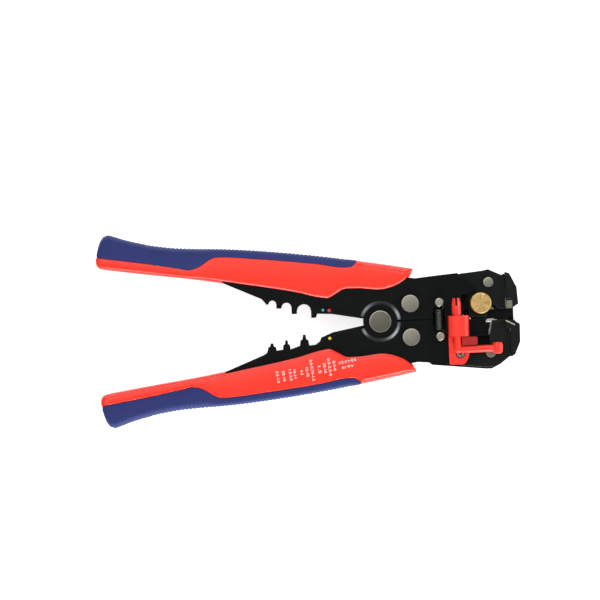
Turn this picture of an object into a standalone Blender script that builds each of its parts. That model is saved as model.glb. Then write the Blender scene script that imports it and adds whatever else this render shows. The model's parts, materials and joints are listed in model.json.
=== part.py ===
"""Automatic wire stripper with crimp notches, wire cutter and length stop.

The tool lies flat: +X runs to the jaw tip, +Y across the handles, +Z up.
The origin is on the main pivot's axis, in the plane the tool rests on.
Sizes are in millimetres; MM turns them into metres.
"""
import math

import bmesh
import bpy
from mathutils import Matrix, Vector

MM = 0.001

# Main sizes: pivot to butt, pivot to jaw tip, axis to the widest point of a handle
HANDLE_LENGTH = 136.8
HANDLE_REACH = 46.9
HEAD_LENGTH = 67.6
HEAD_SHARE = HEAD_LENGTH / 67.6

# Thicknesses and clearances
GRIP_THICK = 18.0
PLATE_THICK = 3.0
PLATE_GAP = 9.6
JAW_PLATE_THICK = 1.8
CLEAR = 0.3

# Pivot
EYE_R = 8.2
RING_R = 10.2
MAIN_SHANK_R = 3.4
MAIN_HEAD_R = 5.4
WASHER_R = 6.5
GROOVE_DEPTH = 0.5
SQUEEZE_HALF = 10.5

# Jaw rivets, spring pins, tip rivets, knob
JAW_PIVOT = (14.8 * HEAD_SHARE, 8.15)
JAW_EYE_R = 5.0
JAW_SHANK_R = 2.4
JAW_HEAD_R = 4.3
BUSHING_R = 3.6
SPRING_PIN = (28.85 * HEAD_SHARE, 8.25)
SPRING_PIN_R = 1.3
SPRING_PIN_HEAD_R = 2.15
SPRING_PIN_HEAD_H = 0.8
SPRING_R = 2.4
SPRING_WIRE = 0.8
SPRING_COILS = 10
SPRING_PITCH = 1.0
TIP_RIVET = (53.1 * HEAD_SHARE, 17.1)
TIP_SHANK_R = 1.5
TIP_HEAD_R = 2.5
TIP_HEAD_H = 0.9
KNOB_AT = (49.0 * HEAD_SHARE, 7.15)
KNOB_R = 5.15
KNOB_H = 4.6
KNOB_STEM_R = 1.6
KNOB_RIDGES = 24
KNOB_RIDGE_DEPTH = 0.18

# Head
SEAM_END_X = 39.4 * HEAD_SHARE
SLOT_END_X = 28.0 * HEAD_SHARE
JAW_LEFT_X = 43.3 * HEAD_SHARE
JAW_SPLIT_X = 61.1 * HEAD_SHARE
LINK_X = 40.5 * HEAD_SHARE
LINK_EYE_R = 3.2
LINK_PIN_R = 1.2
TIP_WIDTH = 13.0
MOUTH_TOP = 3.9
MOUTH_BOTTOM = -1.5
PAD_LENGTH = 2.7
PAD_TEETH = 3
PAD_TOOTH_H = 0.35
LIP_X = 57.3 * HEAD_SHARE
LIP_END_X = 64.4 * HEAD_SHARE
LIP_Y = -1.2

# Stripping carriage
GUIDE_EYE_R = 6.0
GUIDE_WIDTH = 5.2
GUIDE_END_X = 19.6 * HEAD_SHARE
FORK_START_X = 15.6 * HEAD_SHARE
FORK_BRIDGE_X = 30.0 * HEAD_SHARE
FORK_WALL = 1.3
FLOOR_THICK = 0.8
CARRIAGE_PIN = (35.5 * HEAD_SHARE, 0.0)
CARRIAGE_PIN_R = 1.0
BLADE_EYE_R = 2.6
LUG_THICK = 0.7
HOLDER_X = 43.5 * HEAD_SHARE
HOLDER_END_X = 53.6 * HEAD_SHARE
HOLDER_BOTTOM = -8.7
LOWER_EDGE_Y = -0.6
UPPER_EDGE_Y = 3.8
UPPER_HOLDER_TOP = 11.6
BLADE_THICK = 0.5
BLADE_LIP = 2.9
BLADE_LIP_H = 1.4
BLADE_SLANT = 1.6

# Grips
GRIP_FRONT_X = 0.12134 * HANDLE_LENGTH
GRIP_BUTT_X = -HANDLE_LENGTH
GRIP_EDGE_R = 2.6
SPLIT_GAP = 0.3
RIB_START_X = 26.8 - HANDLE_LENGTH
RIB_END_X = -18.0
RIB_PITCH = 2.9
RIB_DEPTH = 0.35

# Crimp notches, from the back to the pivot: centre, half width, crown height
ARCHES = ((-52.0, 1.9, 12.1), (-45.2, 2.4, 10.8), (-36.8, 3.4, 9.8))
TEETH = ((-52.9, 2.2, 8.4), (-45.8, 1.85, 7.1), (-37.1, 2.3, 4.7))
DIE_END_X = -55.6
CUTTER_END_X = -23.5
CUTTER_MARGIN = 0.15
BEVEL_WIDTH = 2.2
BEVEL_DEPTH = 1.3
REAR_SETBACK = 4.0

# Length stop
STOP_X = (32.7 * HEAD_SHARE, 43.2 * HEAD_SHARE)
BARREL_Y = (-8.7, 1.4)
BARREL_H = 7.2
BASE_THICK = 1.8
BASE_BOTTOM_Y = -22.3
STOP_SCREW = (38.2 * HEAD_SHARE, -17.0)
STOP_SCREW_R = 1.2
STOP_SCREW_HEAD_R = 2.1
STEM_X = 36.9 * HEAD_SHARE
STEM_RISE = 3.9
STEM_TOP_R = 2.25
STEM_TOP_LEN = 8.2
STEM_R = 1.85
ARM_Y = -15.0
ARM_R = 1.72
ARM_END_X = 56.2 * HEAD_SHARE
BULB_R = 2.6
FENCE_X = (39.0 * HEAD_SHARE, 46.5 * HEAD_SHARE)
FENCE_H = 3.3
FENCE_TONGUE = 1.5

# Levels, counted from the middle of the tool's thickness
Z_BASE = GRIP_THICK / 2
Z_IN = PLATE_GAP / 2
Z_OUT = Z_IN + PLATE_THICK
Z_LAP = (Z_IN + Z_OUT) / 2
Z_JAW_OUT = Z_IN - CLEAR
Z_JAW_IN = Z_JAW_OUT - JAW_PLATE_THICK
Z_CORE = Z_JAW_IN - CLEAR
Z_STOP = Z_OUT + CLEAR
Z_STEM = Z_STOP + STEM_RISE

COLOURS = {
    "red": ((0.95, 0.06, 0.035, 1.0), 0.45, 0.0),
    "dark_red": ((0.55, 0.015, 0.012, 1.0), 0.5, 0.0),
    "blue": ((0.045, 0.055, 0.21, 1.0), 0.7, 0.0),
    "black_steel": ((0.012, 0.014, 0.014, 1.0), 0.35, 0.6),
    "nickel": ((0.42, 0.4, 0.35, 1.0), 0.3, 1.0),
    "bright_steel": ((0.6, 0.58, 0.5, 1.0), 0.25, 1.0),
    "brass": ((0.55, 0.36, 0.12, 1.0), 0.3, 1.0),
}


def clear_scene():
    for old in list(bpy.data.objects):
        bpy.data.objects.remove(old, do_unlink=True)


def material(key):
    mat = bpy.data.materials.get(key)
    if mat is None:
        colour, rough, metal = COLOURS[key]
        mat = bpy.data.materials.new(key)
        mat.use_nodes = True
        shader = mat.node_tree.nodes["Principled BSDF"]
        shader.inputs["Base Color"].default_value = colour
        shader.inputs["Roughness"].default_value = rough
        shader.inputs["Metallic"].default_value = metal
        mat.diffuse_color = colour
    return mat


def pivot_empty(name, x, y, z=0.0, parent=None):
    """An empty that marks a joint's place."""
    empty = bpy.data.objects.new(name, None)
    empty.empty_display_size = 0.005
    bpy.context.collection.objects.link(empty)
    place = Vector((x * MM, y * MM, (z + Z_BASE) * MM))
    if parent is not None:
        empty.parent = parent
        place = place - JOINTS[parent.name]
    empty.location = place
    JOINTS[name] = Vector((x * MM, y * MM, (z + Z_BASE) * MM))
    return empty


JOINTS = {}


def make_object(name, bm, colour, parent=None, smooth=True):
    """Turns a bmesh in millimetres, levels from mid thickness, into an object."""
    bmesh.ops.transform(bm, matrix=Matrix.Translation((0, 0, Z_BASE)), verts=bm.verts)
    bmesh.ops.scale(bm, vec=(MM, MM, MM), verts=bm.verts)
    origin = Vector((0, 0, 0))
    if parent is not None:
        origin = JOINTS[parent.name]
        bmesh.ops.translate(bm, vec=-origin, verts=bm.verts)
    bmesh.ops.recalc_face_normals(bm, faces=bm.faces)
    mesh = bpy.data.meshes.new(name)
    bm.to_mesh(mesh)
    bm.free()
    if smooth:
        mesh.shade_smooth()
        mesh.set_sharp_from_angle(angle=math.radians(30))
    mesh.materials.append(material(colour))
    obj = bpy.data.objects.new(name, mesh)
    bpy.context.collection.objects.link(obj)
    obj.parent = parent
    return obj


def cut(obj, bm, operation="DIFFERENCE"):
    """Booleans a helper solid, in millimetres, with an object."""
    helper = make_object(obj.name + "_tool_" + str(len(obj.modifiers)), bm, "black_steel", obj.parent, False)
    helper.hide_render = True
    helper.display_type = "WIRE"
    mod = obj.modifiers.new("Boolean", "BOOLEAN")
    mod.operation = operation
    mod.object = helper
    return helper


def along_head(points):
    """Spreads an outline's points with the head's length."""
    return [(x * HEAD_SHARE, y) for x, y in points]


def mirror_y(points, side):
    """Side -1 gives the lower lever's outline, in the same turning sense."""
    if side > 0:
        return list(points)
    return [(x, -y) for x, y in reversed(points)]


def arc(cx, cy, r, start, end, steps):
    """Points on an arc, angles in degrees."""
    result = []
    for i in range(steps + 1):
        a = math.radians(start + (end - start) * i / steps)
        result.append((cx + r * math.cos(a), cy + r * math.sin(a)))
    return result


def prism(points, z0, z1, bm=None):
    """Extrudes a flat outline from z0 to z1."""
    bm = bm or bmesh.new()
    verts = [bm.verts.new((x, y, z0)) for x, y in points]
    face = bm.faces.new(verts)
    grown = bmesh.ops.extrude_face_region(bm, geom=[face])
    top = [v for v in grown["geom"] if isinstance(v, bmesh.types.BMVert)]
    bmesh.ops.translate(bm, vec=(0, 0, z1 - z0), verts=top)
    return bm


def turned(profile, steps=32, at=(0, 0), axis="Z", bm=None):
    """Spins a closed (radius, height) profile around an axis through at."""
    bm = bm or bmesh.new()
    rings = []
    for i in range(steps):
        a = 2 * math.pi * i / steps
        ring = []
        for r, h in profile:
            ring.append(bm.verts.new((r * math.cos(a), r * math.sin(a), h)))
        rings.append(ring)
    count = len(profile)
    for i in range(steps):
        nxt = rings[(i + 1) % steps]
        for j in range(count - 1):
            bm.faces.new((rings[i][j], nxt[j], nxt[j + 1], rings[i][j + 1]))
        if profile[0][0] > 0 and profile[-1][0] > 0 and profile[0][1] != profile[-1][1]:
            bm.faces.new((rings[i][count - 1], nxt[count - 1], nxt[0], rings[i][0]))
    bmesh.ops.remove_doubles(bm, verts=bm.verts, dist=1e-5)
    if axis == "Y":
        turn = Matrix.Rotation(math.radians(-90), 4, "X")
        bmesh.ops.transform(bm, matrix=turn, verts=bm.verts)
    if axis == "X":
        turn = Matrix.Rotation(math.radians(90), 4, "Y")
        bmesh.ops.transform(bm, matrix=turn, verts=bm.verts)
    place = Vector((at[0], at[1], at[2] if len(at) > 2 else 0))
    bmesh.ops.translate(bm, vec=place, verts=bm.verts)
    return bm


def disc(x, y, r, z0, z1, steps=32):
    """A plain round bar along Z."""
    return prism(arc(x, y, r, 0, 360 * (steps - 1) / steps, steps - 1), z0, z1)


def tube(x, y, r_in, r_out, z0, z1, steps=24):
    """A washer or bushing along Z."""
    profile = [(r_in, z0), (r_out, z0), (r_out, z1), (r_in, z1), (r_in, z0)]
    return turned(profile, steps, (x, y))


def curve_through(knots, x):
    """A smooth height at x through (x, y) knots, without overshoot."""
    xs = [k[0] for k in knots]
    ys = [k[1] for k in knots]
    if x <= xs[0]:
        return ys[0]
    if x >= xs[-1]:
        return ys[-1]
    slopes = [(ys[i + 1] - ys[i]) / (xs[i + 1] - xs[i]) for i in range(len(xs) - 1)]
    tangents = [slopes[0]]
    for i in range(1, len(slopes)):
        a, b = slopes[i - 1], slopes[i]
        tangents.append(0.0 if a * b <= 0 else 2 * a * b / (a + b))
    tangents.append(slopes[-1])
    i = max(k for k in range(len(xs) - 1) if xs[k] <= x)
    h = xs[i + 1] - xs[i]
    t = (x - xs[i]) / h
    blend = t * t * (3 - 2 * t)
    return (
        ys[i] * (1 - blend)
        + ys[i + 1] * blend
        + h * (t * (1 - t) ** 2) * tangents[i]
        - h * (t * t * (1 - t)) * tangents[i + 1]
    )


def crimp_notches():
    """Lower edge of the upper plate behind the pivot, from back to front."""
    lands = (10.2, 8.1, 5.2, 3.0)
    edge = [(-75.6, 21.4), (-57.2, 13.0), (DIE_END_X, 11.2)]
    left = DIE_END_X + 0.6
    for (cx, half, crown), land in zip(ARCHES, lands):
        edge.append((left, land))
        edge.append((cx - half, land))
        edge.extend(arc(cx, crown - half, half, 180, 0, 6))
        left = cx + half
    edge.append((left, lands[-1]))
    edge.append((left + 2.3, lands[-1]))
    edge.append((left + 3.0, 4.9))
    return edge


def crimp_teeth():
    """The same edge of the lower plate, with stepped teeth (y counted down)."""
    edge = [(-75.6, 21.4), (-57.0, 14.1), (DIE_END_X, 13.2)]
    for i, (cx, half, tip) in enumerate(TEETH):
        rise = 3.8 + 0.9 * i
        for side, share, lift in (
            (-1, 1.0, 1.0), (-1, 0.85, 0.55), (-1, 0.42, 0.45), (-1, 0.28, 0.06),
            (1, 0.28, 0.06), (1, 0.42, 0.45), (1, 0.85, 0.55), (1, 1.0, 1.0),
        ):
            edge.append((cx + side * share * half, tip + lift * rise))
    edge.append((-30.2, 9.8))
    edge.append((-28.9, 6.7))
    return edge


def cutter_edge():
    """The two cutting edges meet along one line when the handles are shut."""
    turn = math.radians(SQUEEZE_HALF)
    rise = CUTTER_MARGIN / math.cos(turn)
    return [(x, -x * math.tan(turn) + rise) for x in (CUTTER_END_X, -EYE_R)]


def pivot_eye():
    """The eye's round edge on the far side of the seam."""
    end = cutter_edge()[1]
    start = 180 - SQUEEZE_HALF - math.degrees(math.asin(CUTTER_MARGIN / EYE_R))
    stop = 360 + math.degrees(math.asin(CLEAR / 2 / EYE_R))
    reach = EYE_R / math.hypot(*end)
    points = arc(0, 0, EYE_R, start, stop, 20)
    points[0] = (end[0] * reach, end[1] * reach)
    return points


def head_edge():
    """From the seam's front end round the nose and back into the grip."""
    nose = along_head([(43.0, 12.2), (47.3, 13.3), (43.6, 17.3), (38.0, 22.1), (28.0, 21.3)])
    tang = [(GRIP_FRONT_X + 1.0, 20.3), (8.0, 21.6), (-17.0, 23.0), (-45.0, 25.4), (-75.6, 27.6)]
    return [(SEAM_END_X, 11.4), *nose, *tang]


def lever_outline(side, front):
    """A lever plate's outline; the rear plates stand back from the die edge."""
    if front:
        edge = crimp_notches() if side > 0 else crimp_teeth()
    else:
        edge = [(-75.6, 21.4), (-57.0, 14.0 + REAR_SETBACK), (-34.0, 7.6 + REAR_SETBACK), (-27.0, 6.9)]
    edge.append(cutter_edge()[0])
    edge.extend(pivot_eye())
    if front:
        x0 = SPRING_PIN[0] - 0.35 - SPRING_R - 2 * CLEAR
        x1 = SPRING_PIN[0] - 0.35 + SPRING_R + 2 * CLEAR
        top = SPRING_PIN[1] - SPRING_PIN_R - CLEAR - 0.8
        edge.extend([(x0, CLEAR / 2), (x0, top), (x1, top), (x1, CLEAR / 2)])
    edge.append((SEAM_END_X, CLEAR / 2))
    edge.extend(head_edge())
    return mirror_y(edge, side)


def lever_plate(name, side, face, parent):
    """One of four flat levers; face 1 is the front of the tool, -1 the rear."""
    front = face > 0
    low, high = sorted((face * Z_IN, face * Z_OUT))
    obj = make_object(name, prism(lever_outline(side, front), low, high), "black_steel", parent)
    inner, mid, outer = face * (Z_IN - 1), face * Z_LAP, face * (Z_OUT + 1)
    gap = face * CLEAR / 2
    if side > 0:
        cut(obj, disc(0, 0, EYE_R + CLEAR, *sorted((inner, mid + gap)), 36))
        groove = tube(0, 0, EYE_R - 0.25, RING_R, *sorted((face * (Z_OUT - GROOVE_DEPTH), outer)), 36)
        cut(obj, groove)
    else:
        cut(obj, disc(0, 0, RING_R, *sorted((mid - gap, outer)), 36))
    holes = disc(0, 0, MAIN_SHANK_R + CLEAR, -Z_OUT - 2, Z_OUT + 2)
    x, y = JAW_PIVOT[0], side * JAW_PIVOT[1]
    prism(arc(x, y, JAW_SHANK_R + CLEAR, 0, 337.5, 15), -Z_OUT - 2, Z_OUT + 2, holes)
    if front:
        x, y = SPRING_PIN[0], side * SPRING_PIN[1]
        prism(arc(x, y, SPRING_PIN_R + CLEAR, 0, 330, 11), Z_IN - 2, Z_OUT + 2, holes)
    if front and side < 0:
        x, y = STOP_SCREW
        prism(arc(x, y, STOP_SCREW_R + CLEAR, 0, 330, 11), Z_IN - 2, Z_OUT + 2, holes)
    cut(obj, holes)
    if front:
        cut(obj, cutter_bevel(side))
    return obj


def cutter_bevel(side):
    """A wedge that leaves the ground edge of the wire cutter."""
    start, end = cutter_edge()
    share = (-RING_R - 0.8 - end[0]) / (start[0] - end[0])
    near = (end[0] + (start[0] - end[0]) * share, end[1] + (start[1] - end[1]) * share)
    bm = bmesh.new()
    ring = []
    for x, y in (start, near):
        ring.append([
            bm.verts.new((x, side * (y - 1.0), Z_OUT - BEVEL_DEPTH - BEVEL_DEPTH / BEVEL_WIDTH)),
            bm.verts.new((x, side * (y + BEVEL_WIDTH + 1.0), Z_OUT + BEVEL_DEPTH / BEVEL_WIDTH)),
            bm.verts.new((x, side * (y - 1.0), Z_OUT + 2.0)),
        ])
    for i in range(3):
        j = (i + 1) % 3
        bm.faces.new((ring[0][i], ring[0][j], ring[1][j], ring[1][i]))
    bm.faces.new(ring[0])
    bm.faces.new(list(reversed(ring[1])))
    return bm


def upper_jaw_edge(front):
    """Outline of the upper jaw's plates, counter-clockwise from the eye."""
    x, y = JAW_PIVOT
    points = arc(x, y, JAW_EYE_R, 90, 285, 9)
    if front:
        points += [
            *along_head([(37.0, y - JAW_EYE_R + 0.6), (38.6, 11.7)]), (JAW_LEFT_X, 11.7), (JAW_LEFT_X, 0.4),
            *along_head([(51.8, 0.2), (52.2, 6.2), (55.6, 6.2)]), (LIP_X, MOUTH_TOP + 0.1),
            (JAW_SPLIT_X, MOUTH_TOP + 0.1),
        ]
    else:
        points += along_head([(33.0, y - JAW_EYE_R + 0.6)])
        points += arc(LINK_X, 0, LINK_EYE_R, 150, 390, 10)
        points += [
            (LINK_X + LINK_EYE_R + 0.9, LIP_Y), (LIP_END_X - 2.2, LIP_Y), (LIP_END_X - 2.0, LIP_Y + 1.0),
            (LIP_END_X, LIP_Y + 1.0), (LIP_END_X, MOUTH_TOP - 0.5), (JAW_SPLIT_X, MOUTH_TOP - 0.5),
        ]
    crest = [(59.5, 20.4), (53.2, 23.4), (50.3, 22.8), (39.8, 21.8), (32.0, 19.6), (22.0, 15.2)]
    return [*points, (JAW_SPLIT_X, 21.0), *along_head(crest)]


def lower_jaw_edge(front):
    """The same for the lower jaw, with y counted down from the axis."""
    x, y = JAW_PIVOT
    points = arc(x, y, JAW_EYE_R, 90, 285, 9)
    tip_x = JAW_SPLIT_X + 1.6
    if front:
        points += along_head([(31.0, y - JAW_EYE_R + 0.6), (33.0, 13.2), (53.0, 13.2)])
        points += [
            (HOLDER_END_X - BLADE_SLANT + 0.7, -HOLDER_BOTTOM + 0.3), (HOLDER_END_X + 0.7, -MOUTH_BOTTOM - 0.2),
            (JAW_SPLIT_X - 0.4, -MOUTH_BOTTOM - 0.2), (JAW_SPLIT_X - 0.4, 5.8), (tip_x, 5.8), (tip_x, 19.2),
            (tip_x - 0.65, 19.5),
        ]
        return points + along_head([(55.3, 23.9), (51.2, 24.1), (39.0, 22.9), (32.0, 19.6), (22.0, 15.2)])
    points += along_head([(33.0, y - JAW_EYE_R + 0.6)])
    points += arc(LINK_X, 0, LINK_EYE_R, 150, 390, 10)
    points += [*along_head([(46.0, 6.4), (55.0, 7.2)]), (tip_x, 7.2), (tip_x, 19.2)]
    return points + along_head([(57.8, 23.0), (53.6, 25.0), (51.0, 25.0), (24.6, 22.1), (23.0, 20.8), (20.0, 15.0)])


def jaw_plate(name, side, face, parent):
    """Side plate of a gripping jaw with its pivot eye and rivet holes."""
    front = face > 0
    edge = upper_jaw_edge(front) if side > 0 else lower_jaw_edge(front)
    low, high = sorted((face * Z_JAW_IN, face * Z_JAW_OUT))
    obj = make_object(name, prism(mirror_y(edge, side), low, high), "black_steel", parent)
    wide = Z_JAW_OUT + 2
    x, y = JAW_PIVOT[0], side * JAW_PIVOT[1]
    holes = disc(x, y, JAW_SHANK_R + CLEAR, -wide, wide, 16)
    x, y = TIP_RIVET[0], side * TIP_RIVET[1]
    prism(arc(x, y, TIP_SHANK_R + CLEAR, 0, 330, 11), -wide, wide, holes)
    if front and side > 0:
        x, y = KNOB_AT
        prism(arc(x, y, KNOB_STEM_R + CLEAR, 0, 330, 11), -wide, wide, holes)
    if not front:
        prism(arc(LINK_X, 0, LINK_PIN_R + CLEAR, 0, 330, 11), -wide, wide, holes)
    cut(obj, holes)
    if not front:
        mid = -(Z_JAW_IN + Z_JAW_OUT) / 2
        if side > 0:
            band = (mid - CLEAR / 2, -Z_JAW_IN + 1)
        else:
            band = (-Z_JAW_OUT - 1, mid + CLEAR / 2)
        cut(obj, disc(LINK_X, 0, LINK_EYE_R + 2 * CLEAR, *band, 24))
    return obj


def jaw_tip(name, side, parent):
    """Wide tip block with a tongue between the jaw's plates."""
    end = HEAD_LENGTH
    if side > 0:
        x0, x1 = JAW_SPLIT_X + CLEAR, JAW_SPLIT_X + PAD_LENGTH + 0.5
        block = [
            (x0, 8.9), (x1, 8.9), (x1, MOUTH_TOP + 0.4), (end - 0.4, 6.1), (end - 0.9, 14.2), (end - 4.2, 20.9),
            (x0 + 0.4, 21.7), (x0, 21.5),
        ]
        root = [(JAW_SPLIT_X + 1, 13.6), (JAW_SPLIT_X + 1, 20.0)]
        tongue = along_head([(46.6, 13.6)]) + root + along_head([(53.0, 21.6), (46.6, 20.6)])
    else:
        x0, x1 = JAW_SPLIT_X + 1.9, JAW_SPLIT_X + PAD_LENGTH + 1.5
        block = [
            (x0, 5.8), (x1, 5.8), (x1, -MOUTH_BOTTOM + 0.6), (end, 3.7), (end - 0.1, 12.3), (end - 2.8, 18.4),
            (x0, 19.4),
        ]
        root = [(x0 + 1.0, 13.6), (x0 + 1.0, 18.0), (x0 - 1.4, 19.2)]
        tongue = along_head([(46.6, 13.6)]) + root + along_head([(55.0, 22.4), (46.6, 21.6)])
    half = TIP_WIDTH / 2
    obj = make_object(name, prism(mirror_y(block, side), -half, half), "black_steel", parent)
    cut(obj, prism(mirror_y(tongue, side), -Z_CORE, Z_CORE), "UNION")
    x, y = TIP_RIVET[0], side * TIP_RIVET[1]
    cut(obj, disc(x, y, TIP_SHANK_R + CLEAR, -half, half, 16))
    return obj


def grip_pad(name, side, parent):
    """Hardened pad with teeth across the wire."""
    if side > 0:
        x0, base, tip = JAW_SPLIT_X + 2 * CLEAR, 8.6, MOUTH_TOP
        x1 = x0 + PAD_LENGTH - 0.4
    else:
        x0, base, tip = JAW_SPLIT_X, 5.5, -MOUTH_BOTTOM
        x1 = x0 + PAD_LENGTH + 1.2
    teeth = PAD_TEETH if side > 0 else PAD_TEETH + 1
    pitch = (x1 - x0) / teeth
    edge = [(x0, base)]
    for i in range(teeth):
        edge.append((x0 + i * pitch, tip))
        edge.append((x0 + (i + 0.9) * pitch, tip + PAD_TOOTH_H))
    edge.append((x1, tip))
    edge.append((x1, base))
    points = list(reversed(edge)) if side > 0 else edge
    points = [(x, side * y) for x, y in points]
    return make_object(name, prism(points, -Z_CORE + CLEAR, TIP_WIDTH / 2), "bright_steel", parent, False)


def rivet(name, x, y, shank_r, head_r, head_h, z0, z1, parent, colour="nickel", steps=20):
    """Shank from z0 to z1 with a chamfered head outside each end."""
    c = head_h * 0.35
    profile = [
        (0, z0 - head_h), (head_r - c, z0 - head_h), (head_r, z0 - head_h + c), (head_r, z0), (shank_r, z0),
        (shank_r, z1), (head_r, z1), (head_r, z1 + head_h - c), (head_r - c, z1 + head_h), (0, z1 + head_h),
    ]
    return make_object(name, turned(profile, steps, (x, y)), colour, parent)


def spring_pin(name, side, parent):
    """Pin in the lever plate that holds one hook of the spring."""
    x, y = SPRING_PIN[0], side * SPRING_PIN[1]
    neck = Z_OUT + 2 * CLEAR + SPRING_WIRE
    top = neck + SPRING_PIN_HEAD_H
    profile = [
        (0, Z_IN + CLEAR), (SPRING_PIN_R, Z_IN + CLEAR), (SPRING_PIN_R, neck), (SPRING_PIN_HEAD_R, neck),
        (SPRING_PIN_HEAD_R, top - 0.3), (SPRING_PIN_HEAD_R - 0.3, top), (0, top),
    ]
    return make_object(name, turned(profile, 16, (x, y)), "nickel", parent)


def sweep(points, radius, sides=5):
    """A round wire along points, with flat ends."""
    bm = bmesh.new()
    rings = []
    up = Vector((0.13, 0.27, 0.95)).normalized()
    for i, point in enumerate(points):
        ahead = points[min(i + 1, len(points) - 1)] - points[max(i - 1, 0)]
        ahead.normalize()
        side = ahead.cross(up).normalized()
        up = side.cross(ahead).normalized()
        ring = []
        for k in range(sides):
            a = 2 * math.pi * k / sides
            ring.append(bm.verts.new(point + side * (radius * math.cos(a)) + up * (radius * math.sin(a))))
        rings.append(ring)
    for lower, upper in zip(rings, rings[1:]):
        for k in range(sides):
            j = (k + 1) % sides
            bm.faces.new((lower[k], lower[j], upper[j], upper[k]))
    bm.faces.new(list(reversed(rings[0])))
    bm.faces.new(rings[-1])
    return bm


def return_spring(parent):
    """Tension spring between the two pins, hooked round each."""
    axis_x = SPRING_PIN[0] - 0.35
    mean = SPRING_R - SPRING_WIRE / 2
    axis_z = Z_IN + CLEAR + SPRING_R
    hook_z = Z_OUT + CLEAR + SPRING_WIRE / 2
    half = SPRING_COILS * SPRING_PITCH / 2
    lift = math.degrees(math.asin(min(0.95, (hook_z - axis_z) / mean)))
    points = []
    hook_r = SPRING_PIN_R + CLEAR + SPRING_WIRE / 2

    def hook(side):
        """Half a turn round a pin, on the plate, from the coil's end outwards."""
        x, y = SPRING_PIN[0], side * SPRING_PIN[1]
        return [Vector((px, py, hook_z)) for px, py in arc(x, y, hook_r, 0, side * 215, 9)]

    points.extend(reversed(hook(-1)))
    total = 360 * SPRING_COILS
    count = SPRING_COILS * 8
    for i in range(count + 1):
        a = math.radians(lift + total * i / count)
        y = -half + 2 * half * i / count
        points.append(Vector((axis_x + mean * math.cos(a), y, axis_z + mean * math.sin(a))))
    points.extend(hook(1))
    return make_object("return_spring", sweep(points, SPRING_WIRE / 2), "black_steel", parent)


def adjusting_knob(parent):
    """Knurled brass knob with its stem in the upper jaw's front plate."""
    x, y = KNOB_AT
    count = KNOB_RIDGES * 2
    levels = [
        (Z_JAW_IN, KNOB_STEM_R, 0.0), (Z_JAW_OUT + CLEAR, KNOB_STEM_R, 0.0),
        (Z_JAW_OUT + CLEAR, KNOB_R - 0.4, 0.0), (Z_JAW_OUT + 0.7, KNOB_R, KNOB_RIDGE_DEPTH),
        (Z_JAW_OUT + KNOB_H - 0.5, KNOB_R, KNOB_RIDGE_DEPTH), (Z_JAW_OUT + KNOB_H, KNOB_R - 0.5, 0.0),
    ]
    bm = bmesh.new()
    rings = []
    for z, r, depth in levels:
        ring = []
        for i in range(count):
            a = 2 * math.pi * i / count
            reach = r - (depth if i % 2 else 0.0)
            ring.append(bm.verts.new((x + reach * math.cos(a), y + reach * math.sin(a), z)))
        rings.append(ring)
    for lower, upper in zip(rings, rings[1:]):
        for i in range(count):
            j = (i + 1) % count
            bm.faces.new((lower[i], lower[j], upper[j], upper[i]))
    bm.faces.new(list(reversed(rings[0])))
    bm.faces.new(rings[-1])
    return make_object("adjusting_knob", bm, "brass", parent)


def centre_guide(parent):
    """Bar on the main rivet that the blade carriage slides along."""
    half = GUIDE_WIDTH / 2
    turn = math.degrees(math.asin(half / GUIDE_EYE_R))
    points = arc(0, 0, GUIDE_EYE_R, turn, 360 - turn, 22)
    points += [(GUIDE_END_X, -half), (GUIDE_END_X, half)]
    low = -Z_CORE + FLOOR_THICK + CLEAR
    obj = make_object("centre_guide", prism(points, low, Z_CORE), "bright_steel", parent)
    cut(obj, disc(0, 0, MAIN_SHANK_R + CLEAR, -Z_CORE - 1, Z_CORE + 1))
    return obj


def blade_carriage(parent):
    """Fork that slides on the guide bar and carries the blades on a pin."""
    inner = GUIDE_WIDTH / 2 + CLEAR
    outer = inner + FORK_WALL
    x, y = CARRIAGE_PIN
    nose = x - BLADE_EYE_R - CLEAR
    points = [
        (FORK_START_X, -outer), (nose, -outer), (nose, outer), (FORK_START_X, outer), (FORK_START_X, inner),
        (FORK_BRIDGE_X, inner), (FORK_BRIDGE_X, -inner), (FORK_START_X, -inner),
    ]
    obj = make_object("blade_carriage", prism(points, -Z_CORE, Z_CORE), "black_steel", parent)
    floor = [(FORK_START_X, -outer), (nose - 0.5, -outer), (nose - 0.5, outer), (FORK_START_X, outer)]
    cut(obj, prism(floor, -Z_CORE, -Z_CORE + FLOOR_THICK), "UNION")
    lug = arc(x, y, BLADE_EYE_R, -90, 90, 8) + [(nose - 0.8, y + BLADE_EYE_R), (nose - 0.8, y - BLADE_EYE_R)]
    for low in (-Z_CORE, Z_CORE - LUG_THICK):
        cut(obj, prism(lug, low, low + LUG_THICK), "UNION")
    cut(obj, disc(x, y, CARRIAGE_PIN_R + CLEAR, -Z_CORE - 1, Z_CORE + 1, 16))
    return obj


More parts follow.
